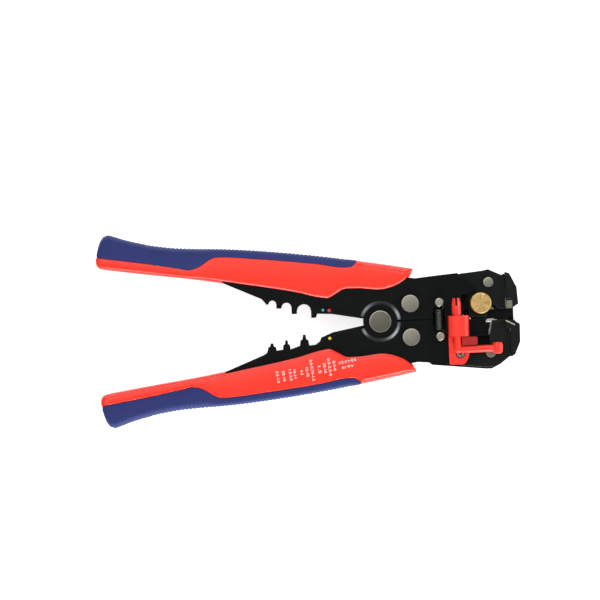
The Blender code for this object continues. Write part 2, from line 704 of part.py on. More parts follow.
def blade_holder(name, side, parent):
    """Block that carries one blade, with a thin eye on the carriage pin."""
    x, y = CARRIAGE_PIN
    step_x = HOLDER_END_X - BLADE_LIP + 0.7
    edge = LOWER_EDGE_Y if side < 0 else UPPER_EDGE_Y
    seat = edge + side * (BLADE_LIP_H + CLEAR)
    body_x = x + BLADE_EYE_R + 2 * CLEAR
    high = Z_CORE - LUG_THICK - CLEAR
    if side < 0:
        body = [
            (body_x, y - BLADE_EYE_R), (HOLDER_X, HOLDER_BOTTOM), (HOLDER_END_X - BLADE_SLANT, HOLDER_BOTTOM),
            (HOLDER_END_X, seat), (step_x, seat), (step_x, edge + 0.1), (HOLDER_X, edge + 0.1), (body_x, y - 0.9),
        ]
        neck = arc(x, y, BLADE_EYE_R, 60, 270, 12) + [(body_x + 1, y - BLADE_EYE_R), (body_x + 1, y - 0.9)]
        band = (-high, -CLEAR / 2)
    else:
        body = [
            (body_x + 1.6, edge + 0.2), (step_x, edge + 0.2), (step_x, seat), (HOLDER_END_X, seat),
            (HOLDER_END_X, UPPER_HOLDER_TOP), (HOLDER_X, UPPER_HOLDER_TOP), (body_x + 1.6, edge + 3.2),
        ]
        neck = arc(x, y, BLADE_EYE_R, 120, 360, 12) + [(body_x + 2.6, edge + 0.2), (body_x + 2.6, edge + 3.2)]
        band = (CLEAR / 2, high)
    obj = make_object(name, prism(body, -Z_CORE, Z_CORE), "black_steel", parent)
    cut(obj, prism(neck, *band), "UNION")
    cut(obj, disc(x, y, CARRIAGE_PIN_R + CLEAR, -Z_CORE - 1, Z_CORE + 1, 16))
    return obj


def blade(name, side, parent):
    """Angled stripping blade over the front corner of its holder."""
    edge = LOWER_EDGE_Y if side < 0 else UPPER_EDGE_Y
    x0 = HOLDER_END_X - BLADE_LIP + 0.7 + CLEAR
    x1 = HOLDER_END_X + CLEAR
    x2 = x1 + BLADE_THICK
    foot = HOLDER_BOTTOM + 0.4 if side < 0 else UPPER_HOLDER_TOP - 0.4
    lip = edge + side * BLADE_LIP_H
    slant = BLADE_SLANT if side < 0 else 0.0
    points = [
        (x0, edge), (x2 + 1.0, edge), (x2 + 1.0, edge + side * 0.5), (x2, lip), (x2 - slant, foot), (x1 - slant, foot),
        (x1, lip),
    ]
    points.append((x0, lip))
    return make_object(name, prism(points, -Z_CORE, Z_CORE), "bright_steel", parent, False)


def prism_y(points, y0, y1):
    """Extrudes an (x, z) outline from y0 to y1."""
    bm = prism([(x, z) for x, z in points], 0, y0 - y1)
    bmesh.ops.transform(bm, matrix=Matrix.Rotation(math.radians(90), 4, "X"), verts=bm.verts)
    bmesh.ops.translate(bm, vec=(0, y0, 0), verts=bm.verts)
    return bm


def stop_bracket(parent):
    """Base on the lower front plate with the barrel for the stop's stem."""
    x0, x1 = STOP_X
    y0, y1 = BARREL_Y
    top = Z_STOP + BASE_THICK
    base = [
        (x0, BASE_BOTTOM_Y), (x1 - 3.2, BASE_BOTTOM_Y), (x1 - 0.9, BASE_BOTTOM_Y + 2.6), (x1, BASE_BOTTOM_Y + 5.5),
        (x1, y1), (x0, y1),
    ]
    obj = make_object("stop_bracket", prism(base, Z_STOP, top), "red", parent)
    mid = (x0 + x1) / 2
    half = (x1 - x0) / 2
    crown = BARREL_H - 3.4
    section = [(x1, Z_STOP + 0.5), (x1, Z_STOP + 3.4)]
    for i in range(1, 10):
        a = math.pi * i / 10
        section.append((mid + half * math.cos(a), Z_STOP + 3.4 + crown * math.sin(a) ** 0.7))
    section += [(x0, Z_STOP + 3.4), (x0, Z_STOP + 0.5)]
    cut(obj, prism_y(section, y0, y1), "UNION")
    bore = turned(
        [(0, y0 - 1), (STEM_R + CLEAR, y0 - 1), (STEM_R + CLEAR, y1 + 1), (0, y1 + 1)], 20, (STEM_X, 0, Z_STEM), "Y"
    )
    cut(obj, bore)
    x, y = STOP_SCREW
    holes = disc(x, y, STOP_SCREW_R + CLEAR, Z_STOP - 1, top + 1, 16)
    cut(obj, holes)
    cut(obj, disc(x, y, STOP_SCREW_HEAD_R + CLEAR, top - 0.9, top + 1, 24))
    slot_y = (y0 + ARM_Y + ARM_R) / 2
    half = FENCE_TONGUE / 2 + CLEAR
    slot = [(x0 + 2.2, slot_y - half), (x1 + 1, slot_y - half), (x1 + 1, slot_y + half), (x0 + 2.2, slot_y + half)]
    cut(obj, prism(slot, Z_STOP - 1, top + 1))
    return obj


def stop_screw(parent):
    """Slotted screw that holds the stop bracket."""
    x, y = STOP_SCREW
    top = Z_STOP + BASE_THICK
    low = top - 0.9 + CLEAR
    profile = [
        (0, Z_IN + CLEAR), (STOP_SCREW_R, Z_IN + CLEAR), (STOP_SCREW_R, low), (STOP_SCREW_HEAD_R, low),
        (STOP_SCREW_HEAD_R, top), (STOP_SCREW_HEAD_R - 0.25, top + 0.15), (0, top + 0.15),
    ]
    return make_object("stop_screw", turned(profile, 16, (x, y)), "nickel", parent)


def stop_arm(parent):
    """L-shaped arm: split snap stem in the barrel and a round end."""
    y1 = BARREL_Y[1]
    head = y1 + CLEAR
    profile = [
        (0, ARM_Y), (STEM_R, ARM_Y), (STEM_R, head), (STEM_TOP_R, head + 0.2), (STEM_TOP_R, head + 5.4),
        (STEM_TOP_R - 0.5, head + STEM_TOP_LEN), (0, head + STEM_TOP_LEN),
    ]
    obj = make_object("stop_arm", turned(profile, 20, (STEM_X, 0, Z_STEM), "Y"), "red", parent)
    bar = [(0, STEM_X), (ARM_R, STEM_X), (ARM_R, ARM_END_X), (0, ARM_END_X)]
    cut(obj, turned(bar, 16, (0, ARM_Y, Z_STEM), "X"), "UNION")
    elbow = bmesh.new()
    bmesh.ops.create_uvsphere(elbow, u_segments=12, v_segments=8, radius=STEM_R + 0.04)
    bmesh.ops.translate(elbow, vec=(STEM_X, ARM_Y, Z_STEM), verts=elbow.verts)
    cut(obj, elbow, "UNION")
    bulb = turned(
        [
            (0, ARM_Y - BULB_R), (BULB_R - 1.0, ARM_Y - BULB_R), (BULB_R - 0.3, ARM_Y - BULB_R + 0.9),
            (BULB_R, ARM_Y + 1.4), (BULB_R - 0.5, ARM_Y + BULB_R + 0.2), (0, ARM_Y + BULB_R + 0.5),
        ],
        18, (ARM_END_X, 0, Z_STEM), "Y",
    )
    cut(obj, bulb, "UNION")
    end = head + STEM_TOP_LEN
    slit = prism([(STEM_X - 0.45, end - 3.6), (STEM_X + 0.45, end - 3.6), (STEM_X + 0.45, end + 1), (STEM_X - 0.45, end + 1)],
                 Z_STEM - 4, Z_STEM + 4)
    cut(obj, slit)
    return obj


def stop_fence(parent):
    """Sliding fence with a tongue in the bracket's slot."""
    y1 = BARREL_Y[0] - CLEAR
    y0 = ARM_Y + ARM_R + CLEAR
    x0, x1 = FENCE_X
    low = Z_STOP + BASE_THICK + CLEAR
    body = [(x0, y0), (x1 - 0.5, y0), (x1, y0 + 0.5), (x1, y1 - 0.5), (x1 - 0.5, y1), (x0, y1)]
    obj = make_object("stop_fence", prism(body, low, low + FENCE_H), "dark_red", parent)
    mid = (BARREL_Y[0] + ARM_Y + ARM_R) / 2
    half = FENCE_TONGUE / 2
    start = STOP_X[0] + 2.2 + CLEAR
    tongue = [(start, mid - half), (x1 - 2.0, mid - half), (x1 - 2.0, mid + half), (start, mid + half)]
    web = [(x0 + 0.2, mid - half), (x1 - 2.0, mid - half), (x1 - 2.0, mid + half), (x0 + 0.2, mid + half)]
    cut(obj, prism(web, Z_STOP + BASE_THICK - 0.6, low + 0.4), "UNION")
    cut(obj, prism(tongue, Z_STOP + CLEAR, Z_STEM - STEM_R - CLEAR), "UNION")
    return obj


# Edges of the upper grip as shares of the handle's length and reach; the lower one is its mirror image
def along_handle(shape):
    return tuple((x * HANDLE_LENGTH / 100, y * HANDLE_REACH / 100) for x, y in shape)


INNER_EDGE = along_handle((
    (-100.00, 67.80), (-97.30, 64.18), (-92.40, 61.83), (-81.14, 56.93), (-68.35, 51.81), (-48.98, 42.22),
    (-29.97, 31.77), (-21.93, 25.59), (-18.27, 24.09), (-16.01, 27.29), (-11.70, 33.26), (-7.31, 33.05),
    (0.00, 30.92), (4.09, 32.84), (8.48, 38.59), (10.67, 44.35), (12.13, 51.60),
))
OUTER_EDGE = along_handle((
    (-100.00, 74.63), (-99.56, 81.02), (-98.39, 92.75), (-97.15, 98.08), (-95.54, 100.00), (-93.57, 98.51),
    (-89.33, 94.24), (-80.70, 88.06), (-70.47, 83.80), (-53.65, 81.02), (-42.69, 78.25), (-21.49, 70.58),
    (-0.29, 60.34), (8.11, 55.86), (12.13, 53.30),
))
SPLIT_EDGE = along_handle((
    (-100.00, 76.76), (-94.59, 74.41), (-82.16, 68.66), (-71.20, 62.69), (-67.25, 60.55), (-64.99, 61.83),
    (-62.79, 64.61), (-60.60, 68.87), (-58.63, 71.86), (-56.58, 72.71), (-42.69, 69.30), (-21.49, 61.83),
    (-11.99, 57.36), (-9.80, 57.57), (-7.97, 60.77), (-7.02, 62.69),
))
INSERT_START_X = 0.6 - HANDLE_LENGTH
INSERT_END_X = -0.0775 * HANDLE_LENGTH


def split_stations():
    """Places along the grip where both of its colours have a section."""
    places = {k[0] for k in SPLIT_EDGE}
    places |= {share * HANDLE_LENGTH for share in (
        -0.906, -0.863, -0.768, -0.613, -0.512, -0.468, -0.373, -0.322, -0.270, -0.161,
    )}
    return sorted(places)


def split_at(x):
    """Line between the two colours, straight from station to station."""
    places = split_stations()
    for left, right in zip(places, places[1:]):
        if left <= x <= right:
            a = curve_through(SPLIT_EDGE, left)
            b = curve_through(SPLIT_EDGE, right)
            return a + (b - a) * (x - left) / (right - left)
    return curve_through(SPLIT_EDGE, x)


def section(x, y0, y1, half, r0, r1, steps0, steps1):
    """Rounded rectangle across the grip: r0 rounds the inner edge, r1 the outer."""
    limit = 0.46 * (y1 - y0)
    r0 = min(r0, limit)
    r1 = min(r1, limit)
    points = []
    for cy, cz, r, start, steps in (
        (y0 + r0, -half + r0, r0, 180, steps0), (y1 - r1, -half + r1, r1, 270, steps1),
        (y1 - r1, half - r1, r1, 0, steps1), (y0 + r0, half - r0, r0, 90, steps0),
    ):
        for i in range(steps + 1):
            a = math.radians(start + 90 * i / steps)
            points.append((x, cy + r * math.cos(a), cz + r * math.sin(a)))
    return points


def loft(sections, side):
    """Skins a row of sections of equal length and closes both ends."""
    bm = bmesh.new()
    rings = []
    for points in sections:
        rings.append([bm.verts.new((x, side * y, z)) for x, y, z in points])
    for lower, upper in zip(rings, rings[1:]):
        count = len(lower)
        for i in range(count):
            j = (i + 1) % count
            bm.faces.new((lower[i], lower[j], upper[j], upper[i]))
    bm.faces.new(list(reversed(rings[0])))
    bm.faces.new(rings[-1])
    return bm


def grip_half(x):
    """Half thickness: full over the palm, a little thinner at both ends."""
    back = min(1.0, (x - GRIP_BUTT_X) / 5.0)
    front = min(1.0, (GRIP_FRONT_X - x) / 4.0)
    ease = min(back * (2 - back), front * (2 - front))
    return GRIP_THICK / 2 - 0.9 * (1 - ease)


def tang_slot(face):
    """Room in the grip for a lever plate, open towards the handle gap."""
    crest = [(x, y + CLEAR) for x, y in head_edge() if x <= SLOT_END_X]
    back = crest[-1][0] - CLEAR
    crest[-1] = (back, crest[-1][1])
    points = [(back, 3.0), (SLOT_END_X, 3.0)] + crest
    low, high = sorted((face * (Z_IN - CLEAR), face * (Z_OUT + CLEAR)))
    return points, low, high


def grip(name, side, parent):
    """Red body of a handle, with slots that hold the two lever plates."""
    stations = sorted(
        {k[0] for k in INNER_EDGE} | set(split_stations())
        | {-5.0, 3.0, 9.0, INSERT_END_X, INSERT_END_X + SPLIT_GAP}
    )
    rows = []
    for x in stations:
        y0 = curve_through(INNER_EDGE, x)
        outer = curve_through(OUTER_EDGE, x)
        if x <= INSERT_END_X:
            y1 = min(split_at(x) - SPLIT_GAP / 2, outer)
            r1 = 0.25
        else:
            y1 = outer
            r1 = GRIP_EDGE_R * min(1.0, 0.3 + (x - INSERT_END_X) / 4.0)
        rows.append(section(x, y0, y1, grip_half(x), 1.6, r1, 2, 2))
    obj = make_object(name, loft(rows, side), "red", parent)
    for face in (1, -1):
        points, low, high = tang_slot(face)
        cut(obj, prism(mirror_y(points, side), low, high))
    return obj


def grip_insert(name, side, parent):
    """Blue soft strip along the outer edge, ribbed across."""
    stations = {k[0] for k in OUTER_EDGE if INSERT_START_X < k[0] < RIB_START_X}
    stations |= {x for x in split_stations() if INSERT_START_X < x < INSERT_END_X}
    stations |= {4.8 - HANDLE_LENGTH, RIB_START_X - 3.0, INSERT_START_X, INSERT_END_X}
    rows = []
    ribs = int(round((RIB_END_X - RIB_START_X) / RIB_PITCH))
    pitch = (RIB_END_X - RIB_START_X) / ribs
    for x in sorted(stations):
        if not RIB_START_X <= x <= RIB_END_X:
            rows.append((x, 0.0))
    for i in range(ribs):
        start = RIB_START_X + i * pitch
        rows.append((start, RIB_DEPTH))
        rows.append((start + pitch * 0.5, 0.0))
    rows.append((RIB_END_X, RIB_DEPTH))
    skin = []
    for x, depth in sorted(rows):
        y0 = split_at(x) + SPLIT_GAP / 2
        y1 = max(curve_through(OUTER_EDGE, x) - depth, y0 + 0.4)
        skin.append(section(x, y0, y1, grip_half(x), 0.2, GRIP_EDGE_R, 1, 2))
    return make_object(name, loft(skin, side), "blue", parent)


def lever(prefix, side, parent):
    """Everything that both levers have."""
    lever_plate(prefix + "_front_plate", side, 1, parent)
    lever_plate(prefix + "_rear_plate", side, -1, parent)
    grip(prefix + "_grip", side, parent)
    grip_insert(prefix + "_grip_insert", side, parent)
    head_h = GRIP_THICK / 2 - Z_OUT - CLEAR
    rivet(
        prefix + "_jaw_rivet", JAW_PIVOT[0], side * JAW_PIVOT[1], JAW_SHANK_R, JAW_HEAD_R, head_h,
        -Z_OUT - CLEAR, Z_OUT + CLEAR, parent,
    )
    spring_pin(prefix + "_spring_pin", side, parent)


def gripping_jaw(prefix, side, parent):
    """Everything that both gripping jaws have."""
    jaw_plate(prefix + "_jaw_front_plate", side, 1, parent)
    jaw_plate(prefix + "_jaw_rear_plate", side, -1, parent)
    jaw_tip(prefix + "_jaw_tip", side, parent)
    grip_pad(prefix + "_grip_pad", side, parent)
    rivet(
        prefix + "_tip_rivet", TIP_RIVET[0], side * TIP_RIVET[1], TIP_SHANK_R, TIP_HEAD_R, TIP_HEAD_H,
        -Z_JAW_OUT - CLEAR, Z_JAW_OUT + CLEAR, parent, "nickel", 18,
    )
    bushing = tube(JAW_PIVOT[0], side * JAW_PIVOT[1], JAW_SHANK_R + CLEAR, BUSHING_R, -Z_CORE, Z_CORE, 20)
    make_object(prefix + "_jaw_bushing", bushing, "bright_steel", parent)


def main():
    clear_scene()
    main_pivot = pivot_empty("main_pivot", 0, 0)
    upper_pivot = pivot_empty("upper_jaw_pivot", *JAW_PIVOT)
    lower_pivot = pivot_empty("lower_jaw_pivot", JAW_PIVOT[0], -JAW_PIVOT[1])
    blade_pivot = pivot_empty("blade_pivot", *CARRIAGE_PIN)
    knob_pivot = pivot_empty("knob_pivot", *KNOB_AT)
    stem_pivot = pivot_empty("stem_pivot", STEM_X, ARM_Y, Z_STEM)

    lever("lower", -1, main_pivot)
    lever("upper", 1, main_pivot)
    head_h = GRIP_THICK / 2 - Z_OUT - CLEAR
    rivet("main_rivet", 0, 0, MAIN_SHANK_R, MAIN_HEAD_R, head_h, -Z_OUT - CLEAR, Z_OUT + CLEAR, main_pivot, steps=28)
    for name, low in (("front_washer", Z_JAW_IN), ("rear_washer", -Z_JAW_OUT)):
        ring = tube(0, 0, MAIN_SHANK_R + CLEAR, WASHER_R, low, low + JAW_PLATE_THICK)
        make_object(name, ring, "nickel", main_pivot)
    return_spring(main_pivot)

    gripping_jaw("upper", 1, upper_pivot)
    gripping_jaw("lower", -1, lower_pivot)
    link = disc(LINK_X, 0, LINK_PIN_R, -Z_JAW_OUT, -Z_JAW_IN, 16)
    make_object("jaw_link_pin", link, "nickel", lower_pivot)
    adjusting_knob(knob_pivot)

    centre_guide(main_pivot)
    blade_carriage(main_pivot)
    pin = disc(*CARRIAGE_PIN, CARRIAGE_PIN_R, -Z_CORE, Z_CORE, 16)
    make_object("carriage_pin", pin, "nickel", main_pivot)
    for prefix, side in (("upper", 1), ("lower", -1)):
        blade_holder(prefix + "_blade_holder", side, blade_pivot)
        blade(prefix + "_blade", side, blade_pivot)

    stop_bracket(main_pivot)
    stop_screw(main_pivot)
    stop_arm(stem_pivot)
    stop_fence(main_pivot)


main()
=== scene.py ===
"""Dresses the wire stripper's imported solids: fine shapes, finishes and the studio."""
import json
import math

import bmesh
import bpy
from bpy.props import FloatProperty, FloatVectorProperty, IntProperty, PointerProperty
from mathutils import Matrix, Vector

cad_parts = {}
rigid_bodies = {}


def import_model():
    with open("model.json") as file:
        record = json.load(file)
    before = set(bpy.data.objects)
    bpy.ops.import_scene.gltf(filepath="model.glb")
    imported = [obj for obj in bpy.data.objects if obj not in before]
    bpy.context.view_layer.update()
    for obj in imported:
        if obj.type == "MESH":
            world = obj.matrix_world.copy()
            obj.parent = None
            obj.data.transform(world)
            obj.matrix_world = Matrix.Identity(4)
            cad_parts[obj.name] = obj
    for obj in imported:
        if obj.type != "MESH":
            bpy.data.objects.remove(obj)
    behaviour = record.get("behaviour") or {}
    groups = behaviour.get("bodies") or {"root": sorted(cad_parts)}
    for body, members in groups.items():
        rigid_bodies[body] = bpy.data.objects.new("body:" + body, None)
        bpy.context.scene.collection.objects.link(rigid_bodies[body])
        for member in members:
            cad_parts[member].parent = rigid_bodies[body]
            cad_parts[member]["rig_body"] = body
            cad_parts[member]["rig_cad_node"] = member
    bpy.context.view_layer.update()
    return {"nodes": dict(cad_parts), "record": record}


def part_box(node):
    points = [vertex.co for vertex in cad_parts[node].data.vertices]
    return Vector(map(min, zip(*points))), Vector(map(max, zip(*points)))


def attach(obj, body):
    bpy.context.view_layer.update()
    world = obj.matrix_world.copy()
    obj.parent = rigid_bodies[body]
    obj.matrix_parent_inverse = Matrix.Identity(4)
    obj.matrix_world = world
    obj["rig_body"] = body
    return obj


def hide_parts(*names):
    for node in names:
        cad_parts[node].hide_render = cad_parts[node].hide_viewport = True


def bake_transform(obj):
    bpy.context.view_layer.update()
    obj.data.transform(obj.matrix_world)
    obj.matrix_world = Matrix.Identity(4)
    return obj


bl_info = {
    "name": "Wire Stripper Finish",
    "version": (1, 0, 0),
    "blender": (4, 5, 0),
    "location": "View3D > Sidebar > Stripper",
    "description": "Shapes, finishes and studio for a self-adjusting wire stripper",
    "category": "Object",
}

MM = 0.001
# Heights in millimetres: the plane halfway through the grips, and the lever plates' top face
BASE = 9.0
PLATE_TOP = 7.8 + BASE

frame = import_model()
BODY_OF = {
    node: body for body, nodes in frame["record"]["behaviour"]["bodies"].items() for node in nodes
}


def linear(code):
    """Linear colour of an sRGB hex code."""
    channels = []
    for i in (0, 2, 4):
        c = int(code[i:i + 2], 16) / 255
        channels.append(c / 12.92 if c <= 0.04045 else ((c + 0.055) / 1.055) ** 2.4)
    return (*channels, 1.0)


def size_mm(name, default, description, low=0.0):
    """A length setting, given in millimetres."""
    return FloatProperty(
        name=name, description=description, default=default * MM, min=low * MM,
        unit="LENGTH", precision=5,
    )


def colour(name, code, description):
    """A colour setting, given as an sRGB hex code."""
    return FloatVectorProperty(
        name=name, description=description, default=linear(code), size=4, subtype="COLOR",
        min=0.0, max=1.0,
    )


class StripperSizes(bpy.types.PropertyGroup):
    """Sizes of the fine shapes"""
    plate_chamfer: size_mm("Plate chamfer", 0.22, "Broken edge of the stamped lever plates")
    jaw_chamfer: size_mm("Jaw chamfer", 0.28, "Broken edge of the jaw plates and tip blocks")
    plastic_round: size_mm("Plastic rounding", 0.35, "Rounded edges of the moulded length stop")
    grip_round_in: size_mm("Inner grip rounding", 2.9, "Rounding along the handle gap")
    grip_round_out: size_mm("Outer grip rounding", 3.4, "Rounding along the palm side")
    rib_pitch: size_mm("Rib pitch", 1.95, "Distance between the insert's ribs", 0.5)
    rib_depth: size_mm("Rib depth", 0.32, "Depth of the grooves between the ribs")
    spring_wire: size_mm("Spring wire", 0.42, "Wire diameter of the return spring", 0.2)
    spring_coils: IntProperty(
        name="Spring coils", description="Turns of the return spring", default=10, min=4, max=20
    )
    knurl_count: IntProperty(
        name="Knurl count", description="Ridges round the knob", default=60, min=24, max=120
    )


class StripperColours(bpy.types.PropertyGroup):
    """Colours of the finishes"""
    grip_red: colour("Grip red", "F6311D", "Hard plastic of the grips")
    stop_red: colour("Stop red", "F7301F", "Hard plastic of the length stop")
    # The fence's darker red is painted shade under the stop's barrel
    fence_red: colour("Fence red", "A80400", "Sliding fence of the length stop")
    insert_blue: colour("Insert blue", "252F6A", "Soft rubber inserts")
    # Palm side and rib crests: rubbed wear and painted sheen
    insert_worn: colour("Worn insert blue", "5A6A9C", "Rubbed palm side of the inserts")
    black_oxide: colour("Black oxide", "0A0D0C", "Blackened steel plates")
    nickel: colour("Nickel", "8F8D80", "Plated rivet heads")
    bright_steel: colour("Bright steel", "C9C4B4", "Ground blades and pads")
    brass: colour("Brass", "CAAB6E", "Turned knob")
    floor: colour("Floor", "F4F4F4", "Studio floor")


def sizes():
    """The scene's size settings."""
    return bpy.context.scene.stripper_sizes


def colours():
    """The scene's colour settings."""
    return bpy.context.scene.stripper_colours


def settings_in(group):
    """Names of the settings in a property group."""
    return [key for key in group.bl_rna.properties.keys() if key not in ("rna_type", "name")]


# Materials

# Sockets of a Mix node that carry colour: its two inputs and its output
COLOUR_A, COLOUR_B, COLOUR_OUT = 6, 7, 2


def add(tree, kind, settings=None, links=None):
    """Adds a node with its settings and its incoming links."""
    node = tree.nodes.new(kind)
    for key, value in (settings or {}).items():
        if isinstance(key, int) or key in node.inputs:
            node.inputs[key].default_value = value
        else:
            setattr(node, key, value)
    for key, source in (links or {}).items():
        tree.links.new(source, node.inputs[key])
    return node


def blank(name, settings):
    """A new material with its node tree and its shader, which has these settings."""
    mat = bpy.data.materials.new(name)
    mat.use_nodes = True
    shader = mat.node_tree.nodes["Principled BSDF"]
    for key, value in settings.items():
        shader.inputs[key].default_value = value
    return mat, mat.node_tree, shader


def shade(rgba, factor):
    """The colour made darker or lighter."""
    return (*[min(1.0, c * factor) for c in rgba[:3]], 1.0)


def object_pattern(tree, pitch_mm, stretch=(1, 1, 1)):
    """Object coordinates scaled so that one unit is the pattern's pitch."""
    coords = add(tree, "ShaderNodeTexCoord")
    scale = [s / (pitch_mm * MM) for s in stretch]
    place = add(
        tree, "ShaderNodeMapping", {"Scale": scale}, {"Vector": coords.outputs["Object"]}
    )
    return place.outputs["Vector"]


def paint(tree, shader, rgba, dark, pale, pitch_mm, detail, wear_and_highlight=None):
    """Colour in cloudy patches of this size, between two shades, and pale on marked crests: wear
    and painted highlight.
    """
    cloud = add(
        tree, "ShaderNodeTexNoise", {"Scale": 1.0, "Detail": detail},
        {"Vector": object_pattern(tree, pitch_mm)},
    )
    tone = add(
        tree, "ShaderNodeMix",
        {"data_type": "RGBA", COLOUR_A: shade(rgba, dark), COLOUR_B: shade(rgba, pale)},
        {"Factor": cloud.outputs["Fac"]},
    )
    if wear_and_highlight:
        # The piece's own attribute marks its crests, whose pale colour is painted highlight, with
        # rubbed wear on the inserts
        crest = add(tree, "ShaderNodeAttribute", {"attribute_name": "crest"})
        tone = add(
            tree, "ShaderNodeMix", {"data_type": "RGBA", COLOUR_B: wear_and_highlight},
            {"Factor": crest.outputs["Fac"], COLOUR_A: tone.outputs[COLOUR_OUT]},
        )
    tree.links.new(tone.outputs[COLOUR_OUT], shader.inputs["Base Color"])


def textured(tree, shader, gloss, low, high, relief, strength, depth):
    """Roughness that follows one pattern between two values, and bumps from another."""
    dull = add(
        tree, "ShaderNodeMapRange", {"To Min": low, "To Max": high},
        {"Value": gloss.outputs["Fac"]},
    )
    tree.links.new(dull.outputs["Result"], shader.inputs["Roughness"])
    bump = add(
        tree, "ShaderNodeBump", {"Strength": strength, "Distance": depth},
        {"Height": relief.outputs["Fac"]},
    )
    tree.links.new(bump.outputs["Normal"], shader.inputs["Normal"])


def polypropylene(name, rgba, rough):
    """Moulded polypropylene or acetal: satin, with a spark-eroded grain and faint flow marks."""
    mat, tree, shader = blank(name, {"IOR": 1.49})
    # Flow marks about 14 mm across shift the colour a little
    paint(tree, shader, rgba, 0.93, 1.05, 14.0, 3.0)
    # The mould's grain is about 0.1 mm; drawn at 0.35 mm so that it shows
    grain = add(
        tree, "ShaderNodeTexNoise", {"Scale": 1.0, "Detail": 2.0},
        {"Vector": object_pattern(tree, 0.35)},
    )
    textured(tree, shader, grain, rough - 0.05, rough + 0.08, grain, 0.12, 0.04 * MM)
    return mat


def soft_rubber(name, rgba, wear_and_highlight):
    """Overmoulded thermoplastic rubber: matt, slightly dusty, with a powdery sheen."""
    mat, tree, shader = blank(name, {
        "Roughness": 0.62, "IOR": 1.5, "Specular IOR Level": 0.25, "Sheen Weight": 0.03,
        "Sheen Roughness": 0.5,
    })
    # Handling leaves patches about 9 mm across that are a little paler, and the palm side and
    # the rib crests are paler still: rubbed wear and painted sheen
    paint(tree, shader, rgba, 0.88, 1.14, 9.0, 4.0, wear_and_highlight)
    # Sandblasted mould grain, really 0.15 mm; drawn at 0.4 mm so that it shows
    grain = add(
        tree, "ShaderNodeTexNoise", {"Scale": 1.0, "Detail": 2.0},
        {"Vector": object_pattern(tree, 0.4)},
    )
    bump = add(
        tree, "ShaderNodeBump", {"Strength": 0.3, "Distance": 0.06 * MM},
        {"Height": grain.outputs["Fac"]},
    )
    tree.links.new(bump.outputs["Normal"], shader.inputs["Normal"])
    return mat


def blackened_steel(name, rgba, rough, specular, wear_and_highlight=None):
    """Hot-blackened stamped steel: oiled black oxide, faint rolling lines and cloudy blotches."""
    mat, tree, shader = blank(name, {"Specular IOR Level": specular})
    # Oil and oxide clouds about 6 mm across, and pale grey crests where the piece marks them, as a
    # painted highlight
    paint(tree, shader, rgba, 0.75, 1.35, 6.0, 5.0, wear_and_highlight)
    # Rolling lines run along the tool, 0.3 mm apart
    lines = add(
        tree, "ShaderNodeTexNoise", {"Scale": 1.0, "Detail": 2.0},
        {"Vector": object_pattern(tree, 0.3, (0.04, 1.0, 1.0))},
    )
    textured(tree, shader, lines, rough - 0.08, rough + 0.12, lines, 0.15, 0.03 * MM)
    return mat


def plated_metal(name, rgba, rough, pitch_mm=0.25, centre=None):
    """Bare or plated metal: small pits and tool marks, brushed along or turned round a centre."""
    mat, tree, shader = blank(name, {"Metallic": 1.0})
    # Small stains and pits, 1.6 mm apart
    pits = add(
        tree, "ShaderNodeTexNoise", {"Scale": 1.0, "Detail": 6.0},
        {"Vector": object_pattern(tree, 1.6)},
    )
    if centre is None:
        marks = add(
            tree, "ShaderNodeTexNoise", {"Scale": 1.0, "Detail": 3.0},
            {"Vector": object_pattern(tree, pitch_mm, (0.05, 1.0, 1.0))},
        )
        tint, spread = pits, 0.15
    else:
        coords = add(tree, "ShaderNodeTexCoord")
        place = add(
            tree, "ShaderNodeMapping", {"Location": (-centre[0], -centre[1], 0.0)},
            {"Vector": coords.outputs["Object"]},
        )
        # Turning marks are rings round the piece's own axis. A wave of scale s has a ring every
        # 0.314 / s, so these lie at about twice their real pitch, at which they show
        marks = add(
            tree, "ShaderNodeTexWave",
            {
                "wave_type": "RINGS", "rings_direction": "Z", "Scale": 0.16 / (pitch_mm * MM),
                "Distortion": 1.2,
            },
            {"Vector": place.outputs["Vector"]},
        )
        # Turned rings throw the light out in soft streaks; these are painted into the colour as a
        # highlight
        turn = add(
            tree, "ShaderNodeTexGradient", {"gradient_type": "RADIAL"},
            {"Vector": place.outputs["Vector"]},
        )
        painted_ray_highlight = add(
            tree, "ShaderNodeTexNoise",
            {"noise_dimensions": "1D", "Scale": 11.0, "Detail": 1.0}, {"W": turn.outputs["Fac"]},
        )
        tint, spread = painted_ray_highlight, 0.6
    tone = add(
        tree, "ShaderNodeMix",
        {"data_type": "RGBA", COLOUR_A: shade(rgba, 1 - spread), COLOUR_B: shade(rgba, 1 + spread)},
        {"Factor": tint.outputs["Fac"]},
    )
    tree.links.new(tone.outputs[COLOUR_OUT], shader.inputs["Base Color"])
    textured(tree, shader, pits, rough - 0.06, rough + 0.1, marks, 0.12, 0.02 * MM)
    return mat


def enamel(name, rgba):
    """A drop of enamel paint or pad-printing ink: smooth, slightly uneven, glossy."""
    mat, tree, shader = blank(name, {"Roughness": 0.35})
    # It ran a little, in patches of 0.8 mm
    paint(tree, shader, rgba, 0.85, 1.1, 0.8, 2.0)
    return mat


# Axis (x, y) and radius of the adjusting knob, in millimetres
KNOB_AT, KNOB_RADIUS = (49.0, 7.15), 5.15

FINISH = {}


